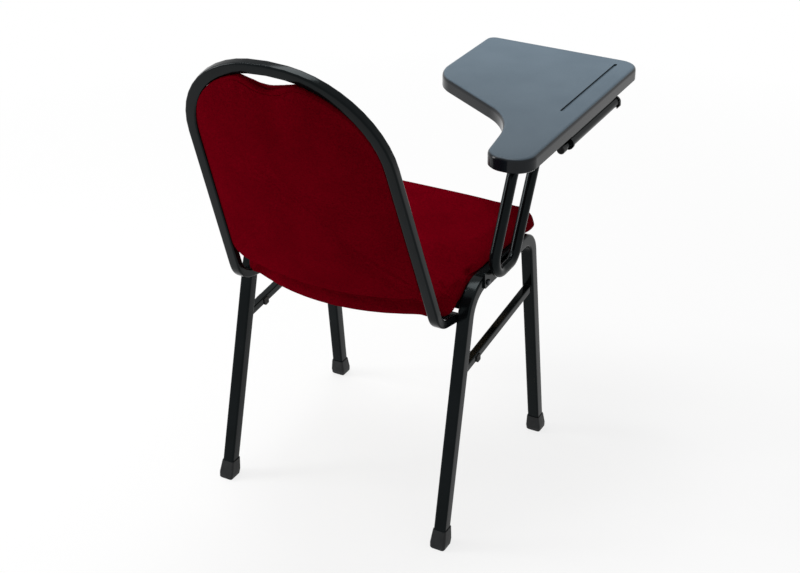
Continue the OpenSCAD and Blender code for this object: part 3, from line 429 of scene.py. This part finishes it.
# Seat. Foam on a plywood board, with a plain woven cloth of crimson wool mix pulled down
# over it, stapled to the board's underside, and fitted to the bends of the frame. Four
# zinc plated screws hold the board to the cross bars.

cloth_deep = (0.116, 0.0003, 0.0040, 1.0)
cloth_bright = (0.166, 0.0005, 0.0060, 1.0)
cloth_fleck = (0.078, 0.0002, 0.0036, 1.0)
cloth_specular = 0.0
cloth_sheen = 0.08
cloth_sheen_roughness = 0.40
cloth_sheen_tint = (0.9, 0.004, 0.03, 1.0)
cloth_roughness = (0.95, 0.78)
thread_pitch = 0.0011
thread_depth = 0.00035
fleck_size = 0.0022
fleck_depth = 0.0005
slack_size = 0.030
slack_depth = 0.0012
fading_size = 0.055
fading = 0.06


def reckon(finish, operation, *amounts):
    """What one sum, such as ADD or MULTIPLY, makes of one or two amounts."""
    return add_node(finish, "ShaderNodeMath", dict(enumerate(amounts)), operation=operation).outputs[0]


def weave(finish, place):
    """Height of a plain weave of threads, drawn on the three sides that a point may face."""
    apart = add_node(finish, "ShaderNodeSeparateXYZ", {0: place})
    waves = {}
    for axis in "XYZ":
        turned = reckon(finish, "MULTIPLY", apart.outputs[axis], 2 * math.pi / thread_pitch)
        waves[axis] = reckon(finish, "SINE", turned)
    facing = add_node(finish, "ShaderNodeTexCoord").outputs["Normal"]
    squared = add_node(finish, "ShaderNodeVectorMath", {0: facing, 1: facing}, operation="MULTIPLY")
    share = add_node(finish, "ShaderNodeSeparateXYZ", {0: squared.outputs[0]})
    sides = []
    for seen, (warp, weft) in {"X": "YZ", "Y": "XZ", "Z": "XY"}.items():
        crossed = reckon(finish, "MULTIPLY", waves[warp], waves[weft])
        sides.append(reckon(finish, "MULTIPLY", crossed, share.outputs[seen]))
    return reckon(finish, "ADD", reckon(finish, "ADD", sides[0], sides[1]), sides[2])


def crimson_weave():
    """Crimson cloth: mottled yarn in a plain weave, a little faded in places, and slightly slack."""
    finish, shader, place = new_finish("crimson_cloth", {
        "Specular IOR Level": cloth_specular, "Sheen Weight": cloth_sheen,
        "Sheen Roughness": cloth_sheen_roughness, "Sheen Tint": cloth_sheen_tint,
    })
    threads = weave(finish, place)
    fleck = grain(finish, place, fleck_size, 2.0)
    cloud = grain(finish, place, fading_size, 2.0)
    slack = grain(finish, place, slack_size, 1.0)
    faded = between(finish, cloud, 0.3, 0.7, -fading, fading)
    mottled = between(finish, reckon(finish, "ADD", fleck, faded), 0.25, 0.75, 0.0, 1.0)
    colour = tones(finish, mottled, (0.0, cloth_fleck), (0.4, cloth_deep), (1.0, cloth_bright))
    join(finish, colour, shader, "Base Color")
    join(finish, between(finish, threads, -1.0, 1.0, *cloth_roughness), shader, "Roughness")
    hang = relief(finish, slack, slack_depth, 0.35)
    yarn = relief(finish, fleck, fleck_depth, 0.35, hang)
    join(finish, relief(finish, threads, thread_depth, 0.6, yarn), shader, "Normal")
    return finish


crimson = crimson_weave()

seat_squeeze = 0.0015
seat_swell = 0.007

# What lies within held_gap of another piece keeps its place, and over the next loosening it
# is drawn in more and more. Blown cloth leaves swell_gap free and takes swell_share of the
# room beyond it, and where it could rise by less than least_swell it is held.
face_splits = 2
flat_angle = 0.7
flat_skew = 3.0
held_gap = 0.0014
loosening = 0.0020
foam_easing = 6
foam_ease = 0.5
swell_gap = 0.0006
swell_share = 0.75
least_swell = 0.0006
blown_frames = 20
cloth_nature = {
    "quality": 6,
    "mass": 0.3,
    "tension_stiffness": 12,
    "compression_stiffness": 12,
    "shear_stiffness": 6,
    "bending_stiffness": 0.8,
    "use_pressure": True,
    "uniform_pressure_force": 4,
    "vertex_group_mass": "held",
}


def shown_mesh(piece):
    """The mesh of a piece with its modifiers, as a mesh of its own."""
    bpy.context.view_layer.update()
    seen = piece.evaluated_get(bpy.context.evaluated_depsgraph_get())
    return bpy.data.meshes.new_from_object(seen)


def take_shape(piece):
    """Makes the shape that the modifiers give the piece's own."""
    mesh = shown_mesh(piece)
    piece.modifiers.clear()
    piece.data = mesh


def points_of(mesh):
    """The places of a mesh's points, in rows."""
    flat = np.zeros(len(mesh.vertices) * 3)
    mesh.vertices.foreach_get("co", flat)
    return flat.reshape(-1, 3)


def facings_of(mesh):
    """The ways that a mesh's points face, in rows."""
    flat = np.zeros(len(mesh.vertices) * 3, np.float32)
    mesh.vertices.foreach_get("normal", flat)
    return flat.reshape(-1, 3).astype(float)


def move_points(mesh, points):
    """Moves a mesh's points to new places."""
    mesh.vertices.foreach_set("co", points.astype(np.float32).ravel())
    mesh.update()


def weigh(piece, name, weights):
    """A group of those points of a piece that have a weight."""
    group = piece.vertex_groups.new(name=name)
    for k in np.nonzero(weights > 0)[0]:
        group.add([int(k)], float(weights[k]), "REPLACE")


def room_round(points, name):
    """How far each point is from every piece but its own."""
    others = surface_of(*[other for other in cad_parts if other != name])
    return np.array([others.find_nearest(Vector(p))[3] for p in points])


def split_faces(piece, times):
    """Splits the faces of a pad's solid for the cloth to bend, and keeps its rim as it is."""
    shape = joined_shape(piece.data)
    bmesh.ops.join_triangles(
        shape, faces=shape.faces, angle_face_threshold=flat_angle, angle_shape_threshold=flat_skew,
    )
    shape.to_mesh(piece.data)
    shape.free()
    finer = piece.modifiers.new("finer", "SUBSURF")
    finer.subdivision_type = "SIMPLE"
    finer.levels = times
    take_shape(piece)


def draw_in(piece, name, squeeze):
    """Draws a pad in as foam under tight cloth is, but not where it lies on other pieces."""
    start = points_of(piece.data)
    loose = np.clip((room_round(start, name) - held_gap) / loosening, 0.0, 1.0)
    move_points(piece.data, start - squeeze * loose[:, None] * facings_of(piece.data))
    weigh(piece, "soft", loose)
    ease = piece.modifiers.new("even_foam", "SMOOTH")
    ease.factor = foam_ease
    ease.iterations = foam_easing
    ease.vertex_group = "soft"
    take_shape(piece)


def blow_up(piece, name, swell):
    """Blows the cloth up from the foam, by swell at most, and less where other pieces are near."""
    foam = points_of(piece.data)
    limit = np.minimum(swell, swell_share * np.maximum(room_round(foam, name) - swell_gap, 0.0))
    weigh(piece, "held", (limit < least_swell).astype(float))
    cloth = piece.modifiers.new("cloth", "CLOTH")
    for setting, value in cloth_nature.items():
        setattr(cloth.settings, setting, value)
    cloth.settings.effector_weights.gravity = 0
    cloth.point_cache.frame_start = 1
    cloth.point_cache.frame_end = blown_frames
    for step in range(1, blown_frames + 1):
        bpy.context.scene.frame_set(step)
    blown = points_of(shown_mesh(piece))
    piece.modifiers.clear()
    bpy.context.scene.frame_set(1)
    moved = blown - foam
    length = np.linalg.norm(moved, axis=1)
    keep = np.minimum(length, limit) / np.maximum(length, 1e-9)
    move_points(piece.data, foam + moved * keep[:, None])


def upholster(name, piece_name, squeeze, swell):
    """Covers a pad's solid in cloth that is tight over its foam."""
    piece = bpy.data.objects.new(piece_name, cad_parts[name].data.copy())
    bpy.context.scene.collection.objects.link(piece)
    split_faces(piece, face_splits)
    draw_in(piece, name, squeeze)
    blow_up(piece, name, swell)
    piece.data.shade_smooth()
    piece.data.materials.clear()
    piece.data.materials.append(crimson)
    finer = piece.modifiers.new("finer", "SUBSURF")
    finer.levels = finer.render_levels = 1
    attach(piece, "chair")
    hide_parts(name)
    return piece


# The middle between the side frames isn't the middle of the whole, because the tablet hangs
# out on one side. Places are given out from that middle, back from it, and up from the
# floor, and each pair is where a change begins and where it is full.
middle_x, middle_y = 0.0310408, 0.0661461
pinch_place = (0.203, 0.048, 0.453)
pinch_reach = 0.014
pinch_depth = 0.016
pinch_sink = 0.5
front_corner = (0.210, -0.142, 0.447)
front_reach = 0.030
front_out = 0.009
front_forward = 0.6
hem_levels = (0.426, 0.446)
hem_sides = (0.150, 0.186)
hem_corner = (0.060, 0.080)
hem_start = (0.094, 0.108)
hem_end = (0.150, 0.180)
hem_drop = 0.012
hem_out = 0.004
fitting_steps = 6
fitting_gap = 0.0009
fitting_share = 0.7


def ramp(amount, low, high):
    """0 up to low, 1 from high on, and a soft rise between."""
    share = np.clip((amount - low) / (high - low), 0, 1)
    return share * share * (3 - 2 * share)


def nearness(spots, place, reach):
    """1 at a place, falling softly to almost nothing at twice the reach."""
    return np.exp(-((spots - np.array(place)) ** 2).sum(1) / reach ** 2)


def fit_to_frame(pad, name):
    """Pinches the sides where the rails bend, fills the front corners, and drops the rear hem."""
    points = points_of(pad.data)
    side = np.sign(points[:, 0] - middle_x)
    out = np.abs(points[:, 0] - middle_x)
    along = points[:, 1] - middle_y
    spots = np.stack([out, along, points[:, 2]], axis=1)
    pinch = pinch_depth * nearness(spots, pinch_place, pinch_reach)
    points[:, 0] -= side * pinch
    points[:, 2] -= pinch_sink * pinch
    low = 1 - ramp(points[:, 2], *hem_levels)
    corner = ramp(out, *hem_sides) * ramp(along, *hem_corner) * low
    behind = ramp(out, *hem_sides) * ramp(along, *hem_start) * (1 - ramp(along, *hem_end)) * low
    spots = np.stack([out, along, points[:, 2]], axis=1)
    full = front_out * nearness(spots, front_corner, front_reach)
    way = np.stack([side * (hem_out * corner + full), -front_forward * full, -hem_drop * behind], axis=1)
    moved = np.nonzero(np.linalg.norm(way, axis=1) > 1e-5)[0]
    for _ in range(fitting_steps):
        step = way[moved] / fitting_steps
        room = room_round(points[moved], name) - fitting_gap
        share = np.clip(fitting_share * room / np.linalg.norm(step, axis=1), 0, 1)
        points[moved] += step * share[:, None]
    move_points(pad.data, points)


seat_pad = upholster("seat_cushion", "seat_upholstery", seat_squeeze, seat_swell)
fit_to_frame(seat_pad, "seat_cushion")

# The board under the foam is pressed from birch veneers.
birch_pale = (0.600, 0.430, 0.260, 1.0)
birch_dark = (0.430, 0.285, 0.160, 1.0)
birch_ray_size = 0.004
birch_ray_stretch = (1.0, 0.06, 1.0)
birch_pore_size = 0.0012
birch_pore_depth = 0.0002
birch_roughness = (0.62, 0.78)
birch_specular = 0.35


def birch_ply():
    """Sanded birch veneer, its figure drawn out along the board, with fine pores."""
    finish, shader, place = new_finish("plywood", {"Specular IOR Level": birch_specular})
    sockets = {"Vector": place, "Scale": birch_ray_stretch}
    stretched = add_node(finish, "ShaderNodeMapping", sockets).outputs[0]
    rays = grain(finish, stretched, birch_ray_size, 6.0)
    pores = grain(finish, stretched, birch_pore_size, 2.0)
    join(finish, tones(finish, rays, (0.3, birch_dark), (0.7, birch_pale)), shader, "Base Color")
    join(finish, between(finish, rays, 0.3, 0.7, *birch_roughness), shader, "Roughness")
    join(finish, relief(finish, pores, birch_pore_depth, 0.5), shader, "Normal")
    return finish


plywood = birch_ply()
coat(plywood, "seat_board")

# Its screws are of zinc plated steel.
zinc_pale = (0.560, 0.570, 0.590, 1.0)
zinc_dull = (0.360, 0.365, 0.375, 1.0)
zinc_cloud_size = 0.0024
zinc_cloud_depth = 0.00005
zinc_roughness = (0.24, 0.44)


def zinc_plate(name, pale, dull):
    """Zinc plating, paler and duller in small clouds."""
    finish, shader, place = new_finish(name, {"Metallic": 1.0})
    cloud = grain(finish, place, zinc_cloud_size)
    join(finish, tones(finish, cloud, (0.3, dull), (0.7, pale)), shader, "Base Color")
    join(finish, between(finish, cloud, 0.3, 0.7, *zinc_roughness), shader, "Roughness")
    join(finish, relief(finish, cloud, zinc_cloud_depth, 0.5), shader, "Normal")
    return finish


zinc = zinc_plate("zinc_plate", zinc_pale, zinc_dull)
coat(zinc, "seat_screws")

# Back. A bent plywood board between a foam cushion in front and a thinner padded panel at
# the rear, all covered in the seat's cloth, which is also pulled round the board's edge. It
# stands inside the hoop on four screws, and its top dips to leave room for a hand.

recline = math.radians(19.4)
along_back = np.array((0, math.sin(recline), math.cos(recline)))
cushion_squeeze = 0.0008
cushion_swell = 0.006
cushion_rise = 0.0052
cushion_rise_x = -0.006
cushion_rise_half = 0.052
cushion_rise_fade = (0.024, 0.060)
panel_squeeze = 0.0004
panel_swell = 0.004
panel_rise = 0.0065
panel_rise_half = 0.030
panel_dip = 0.0095
panel_dip_half = 0.075
panel_fade = (0.026, 0.075)


def hump(offset, half):
    """1 in the middle, falling softly to 0 at half on both sides."""
    return np.cos(np.clip(np.abs(offset) / half, 0, 1) * math.pi / 2) ** 2


def cushion_shift(offset):
    """How far the front cushion's top rises, at an offset from the chair's middle."""
    return cushion_rise * hump(offset - cushion_rise_x, cushion_rise_half)


def panel_shift(offset):
    """How far the rear panel's top rises, at an offset from the chair's middle, with a wider dip."""
    return panel_rise * hump(offset, panel_rise_half) - panel_dip * hump(offset, panel_dip_half)


def shift_top(pad, shift, fade):
    """Moves a pad's top edge along the back, and what lies lower less and less, over fade."""
    points = points_of(pad.data)
    below = (points @ along_back).max() - points @ along_back
    share = np.clip((fade[1] - below) / (fade[1] - fade[0]), 0, 1)
    move = shift(points[:, 0] - middle_x) * share
    move_points(pad.data, points + move[:, None] * along_back)


back_pad = upholster(
    "back_cushion", "back_upholstery", cushion_squeeze, cushion_swell,
)
shift_top(back_pad, cushion_shift, cushion_rise_fade)
back_cover = upholster("back_rear_panel", "back_rear_cover", panel_squeeze, panel_swell)
shift_top(back_cover, panel_shift, panel_fade)
coat(plywood, "back_board")
coat(zinc, "back_screws")

# The edging lies edging_out off the board's edge and edging_over past its faces, and turns
# in by edging_flap under the pads. It stops where the edge comes near a tab.
edging_out = 0.0010
edging_over = 0.0002
edging_flap = 0.010
edging_t = 0.0002
edging_tab_gap = 0.0008
faces_rearward = 0.5
edging_order = Vector((0.31, 0.52, 0.79))


def rim_of(board, tabs):
    """The narrow faces round a board's edge, apart from those on steel tabs, and which way is rearward."""
    shape = joined_shape(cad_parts[board].data)
    largest = max(shape.faces, key=lambda face: face.calc_area())
    rearward = largest.normal.copy()
    if rearward.y < 0:
        rearward.negate()
    steel = surface_of(tabs)
    drop = []
    for face in shape.faces:
        near = steel.find_nearest(face.calc_center_median())[3]
        if abs(face.normal.dot(rearward)) > faces_rearward or near < edging_tab_gap:
            drop.append(face)
    bmesh.ops.delete(shape, geom=drop, context="FACES")
    shape.normal_update()
    return shape, rearward


def put_in_order(shape):
    """Sorts a shape's points, edges and faces along edging_order, so that each run gives one mesh."""
    shape.verts.sort(key=lambda vert: vert.co.dot(edging_order))
    shape.edges.sort(key=lambda edge: (edge.verts[0].co + edge.verts[1].co).dot(edging_order))
    shape.faces.sort(key=lambda face: face.calc_center_median().dot(edging_order))


def cloth_edging(name, board, tabs):
    """The strip of cloth that is pulled round the board's edge, up to the steel tabs."""
    shape, rearward = rim_of(board, tabs)
    outward, side = {}, {}
    for vert in shape.verts:
        levels = [edge.other_vert(vert).co.dot(rearward) for edge in vert.link_edges]
        side[vert] = 1 if vert.co.dot(rearward) > sum(levels) / len(levels) else -1
        outward[vert] = vert.normal.copy()
    for vert in shape.verts:
        vert.co += outward[vert] * edging_out + rearward * side[vert] * edging_over
    ways = {tuple(vert.co): outward[vert] for vert in shape.verts}
    rims = []
    for edge in shape.edges:
        first, last = edge.verts
        if len(edge.link_faces) == 1 and side[first] == side[last]:
            rims.append(edge)
    turned_in = bmesh.ops.extrude_edge_only(shape, edges=rims)["geom"]
    for vert in [part for part in turned_in if isinstance(part, bmesh.types.BMVert)]:
        vert.co -= ways[tuple(vert.co)] * edging_flap
    put_in_order(shape)
    mesh = bpy.data.meshes.new(name)
    shape.to_mesh(mesh)
    shape.free()
    mesh.shade_smooth()
    piece = new_piece(name, mesh, crimson)
    thick = piece.modifiers.new("cloth_thickness", "SOLIDIFY")
    thick.thickness = edging_t
    thick.offset = 0
    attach(piece, "chair")


cloth_edging("back_edging", "back_board", "back_tabs")

# Tablet arm. Two round tubes stand on a steel plate that is bolted to the outer face of the
# right rail. The rear tube turns forward at the top and runs on under the tablet as its
# rail, and the front tube is notched to fit under that rail.

black_zinc_pale = (0.060, 0.064, 0.068, 1.0)
black_zinc_dull = (0.032, 0.034, 0.037, 1.0)
notch_reach = 0.0006
arm_foot_reach = 0.0012
arm_foot_angle = 4.0

coat(powder_coat, "arm_mount_plate", "arm_front_tube", "arm_rear_tube")
coat(zinc_plate("black_zinc", black_zinc_pale, black_zinc_dull), "arm_bolts")
coat(cap_plastic, "arm_rail_plug")
seams = seams_on("arm_front_tube", "arm_rear_tube", notch_reach, half=(2, 1))
for tube in ("arm_front_tube", "arm_rear_tube"):
    seams += seams_on(tube, "arm_mount_plate", arm_foot_reach, sharpest=arm_foot_angle)
welds("arm_welds", seams)

# Hinge. A steel rod in two welded ears carries a sleeve that turns on nylon bushes, and the
# sleeve's leaf is screwed to the tablet. A plastic cap covers the rod's rear end.

nylon_black = (0.0200, 0.0200, 0.0210, 1.0)
nylon_grey = (0.0360, 0.0360, 0.0380, 1.0)
nylon_cloud_size = 0.004
nylon_roughness = (0.30, 0.42)
nylon_specular = 0.5
ear_reach = 0.0012


def black_nylon():
    """Turned black nylon, smooth and half glossy."""
    finish, shader, place = new_finish("nylon", {"Specular IOR Level": nylon_specular})
    cloud = grain(finish, place, nylon_cloud_size)
    join(finish, tones(finish, cloud, (0.3, nylon_black), (0.7, nylon_grey)), shader, "Base Color")
    join(finish, between(finish, cloud, 0.3, 0.7, *nylon_roughness), shader, "Roughness")
    return finish


nylon = black_nylon()
coat(powder_coat, "hinge_ear_front", "hinge_ear_rear", "hinge_rod", "hinge_sleeve")
coat(nylon, "hinge_bush_front", "hinge_bush_rear")
coat(cap_plastic, "hinge_rod_cap")
seams = []
for ear in ("front", "rear"):
    for face in (1, -1):
        seams += seams_on(f"hinge_ear_{ear}", "arm_rear_tube", ear_reach, half=(1, face))
welds("ear_welds", seams)

# Tablet. A moulded board with a matt slate writing surface, a pen groove along its outer
# side, and a glossy black rolled edge. It lies on two rubber saddles on the rail, and shade
# is painted into its slate, darker towards the rear.

slate_dark = (0.082, 0.121, 0.156, 1.0)
slate_light = (0.101, 0.144, 0.182, 1.0)
# Painted shade: the share of the slate's colour that is left at the tablet's rear end.
painted_shade_tail_share = 0.58
slate_facing = (0.62, 0.92)
slate_speck_size = 0.0011
slate_speck_depth = 0.00006
slate_cloud_size = 0.080
edge_black = (0.0040, 0.0060, 0.0085, 1.0)
edge_roughness = 0.16
slate_roughness = 0.52
board_specular = 0.2
tablet_ends = [corner.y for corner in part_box("tablet_top")]


def writing_board():
    """Slate on what faces up, and black on what turns over the edge and lies below."""
    finish, shader, place = new_finish("slate_board", {"Specular IOR Level": board_specular})
    facing = add_node(finish, "ShaderNodeTexCoord").outputs["Normal"]
    upward = add_node(finish, "ShaderNodeSeparateXYZ", {0: facing}).outputs["Z"]
    on_top = between(finish, upward, *slate_facing, 0.0, 1.0)
    speck = grain(finish, place, slate_speck_size)
    cloud = grain(finish, place, slate_cloud_size, 2.0)
    mottled = between(finish, reckon(finish, "ADD", speck, cloud), 0.7, 1.3, 0.0, 1.0)
    slate = tones(finish, mottled, (0.1, slate_dark), (0.9, slate_light))
    length = add_node(finish, "ShaderNodeSeparateXYZ", {0: place}).outputs["Y"]
    # Painted shade: the slate's colour is scaled down along the tablet, darker towards the rear.
    painted_rear_shade = between(finish, length, *tablet_ends, 1.0, painted_shade_tail_share)
    sockets = {0: slate, "Scale": painted_rear_shade}
    slate = add_node(finish, "ShaderNodeVectorMath", sockets, operation="SCALE").outputs[0]
    sockets = {0: on_top, 6: edge_black, 7: slate}
    colour = add_node(finish, "ShaderNodeMix", sockets, data_type="RGBA").outputs[2]
    roughness = between(finish, on_top, 0.0, 1.0, edge_roughness, slate_roughness)
    join(finish, colour, shader, "Base Color")
    join(finish, roughness, shader, "Roughness")
    join(finish, relief(finish, speck, slate_speck_depth, 0.6), shader, "Normal")
    return finish


coat(writing_board(), "tablet_top")
coat(zinc, "tablet_screws")
coat(rubber, "rest_buffers")

# Studio. A pale floor under white surroundings, soft light from above and from the left, a
# narrow lamp that draws a line of light down the tubes, and the camera where the photograph
# was taken from: behind the chair, over its right.

studio_white = (0.86, 0.86, 0.86, 1.0)
surroundings_light = 0.52
floor_half = 9.0
floor_roughness = 0.9
floor_specular = 0.1
floor_near_glow = 0.78
floor_fade = (0.7, 2.2)


def seen_directly(finish):
    """1 for what the camera, gloss or glass sees, 0 for what only lights the object."""
    rays = add_node(finish, "ShaderNodeLightPath").outputs
    seen = reckon(finish, "MAXIMUM", rays["Is Camera Ray"], rays["Is Glossy Ray"])
    return reckon(finish, "MAXIMUM", seen, rays["Is Transmission Ray"])


def floor_paint():
    """White paint that glows white by itself where it is seen, and a little less near the chair."""
    finish, shader, place = new_finish("floor_paint", {
        "Base Color": studio_white, "Roughness": floor_roughness, "Specular IOR Level": floor_specular,
    })
    reach = add_node(finish, "ShaderNodeVectorMath", {0: place}, operation="LENGTH").outputs["Value"]
    far = between(finish, reach, *floor_fade, floor_near_glow, 1.0)
    shown = reckon(finish, "MULTIPLY", far, seen_directly(finish))
    glow = add_node(finish, "ShaderNodeEmission", {"Color": (1, 1, 1, 1), "Strength": 1.0})
    sockets = {0: shown, 1: shader.outputs[0], 2: glow.outputs[0]}
    mixed = add_node(finish, "ShaderNodeMixShader", sockets)
    join(finish, mixed.outputs[0], finish.node_tree.nodes["Material Output"], "Surface")
    return finish


corners = [(x * floor_half, y * floor_half, 0) for x, y in ((-1, -1), (1, -1), (1, 1), (-1, 1))]
floor_mesh = bpy.data.meshes.new("studio_floor")
floor_mesh.from_pydata(corners, [], [(0, 1, 2, 3)])
new_piece("studio_floor", floor_mesh, floor_paint())

surroundings = bpy.data.worlds.new("studio_white")
bpy.context.scene.world = surroundings
surroundings.use_nodes = True
air = surroundings.node_tree.nodes["Background"]
air.inputs["Color"].default_value = (1, 1, 1, 1)
strength = between(surroundings, seen_directly(surroundings), 0.0, 1.0, surroundings_light, 1.0)
join(surroundings, strength, air, "Strength")


def softbox(name, place, target, size, power):
    """A lamp with a soft square or oblong face, turned to its target."""
    light = bpy.data.lights.new(name, "AREA")
    light.shape = "RECTANGLE"
    light.size, light.size_y = size
    light.energy = power
    lamp = bpy.data.objects.new(name, light)
    bpy.context.scene.collection.objects.link(lamp)
    lamp.location = place
    lamp.rotation_mode = "QUATERNION"
    lamp.rotation_quaternion = (Vector(target) - Vector(place)).to_track_quat("-Z", "Y")


softbox("softbox_over", place=(0.5, -0.3, 3.0), target=(0, 0, 0.4), size=(1.2, 1.2), power=38)
softbox("softbox_strip", place=(1.8, 0.6, 3.2), target=(0, 0.2, 0.8), size=(0.12, 0.8), power=12)
softbox("softbox_left", place=(2.6, 1.2, 1.5), target=(0, 0, 0.5), size=(0.8, 1.5), power=34)

lens_place = (-1.0627, 1.9903, 1.5677)
lens_yaw = math.radians(28.85)
lens_pitch = math.radians(28.82)
lens_roll = math.radians(-0.67)
focal_pixels = 1439.5
photo_width = 800
film_width = 36
farthest_seen = 60

heading = Vector((math.sin(lens_yaw), -math.cos(lens_yaw), 0))
ahead = heading * math.cos(lens_pitch) - Vector((0, 0, math.sin(lens_pitch)))
level = ahead.cross(Vector((0, 0, 1))).normalized()
upward = level.cross(ahead)
right = level * math.cos(lens_roll) + upward * math.sin(lens_roll)
upright = upward * math.cos(lens_roll) - level * math.sin(lens_roll)
turned = Matrix((right, upright, -ahead)).transposed().to_4x4()
lens = bpy.data.cameras.new("camera")
lens.sensor_width = film_width
lens.lens = film_width * focal_pixels / photo_width
lens.clip_end = farthest_seen
camera = bpy.data.objects.new("camera", lens)
bpy.context.scene.collection.objects.link(camera)
camera.matrix_world = Matrix.Translation(lens_place) @ turned
bpy.context.scene.camera = camera
bpy.context.scene.view_settings.view_transform = "Standard"
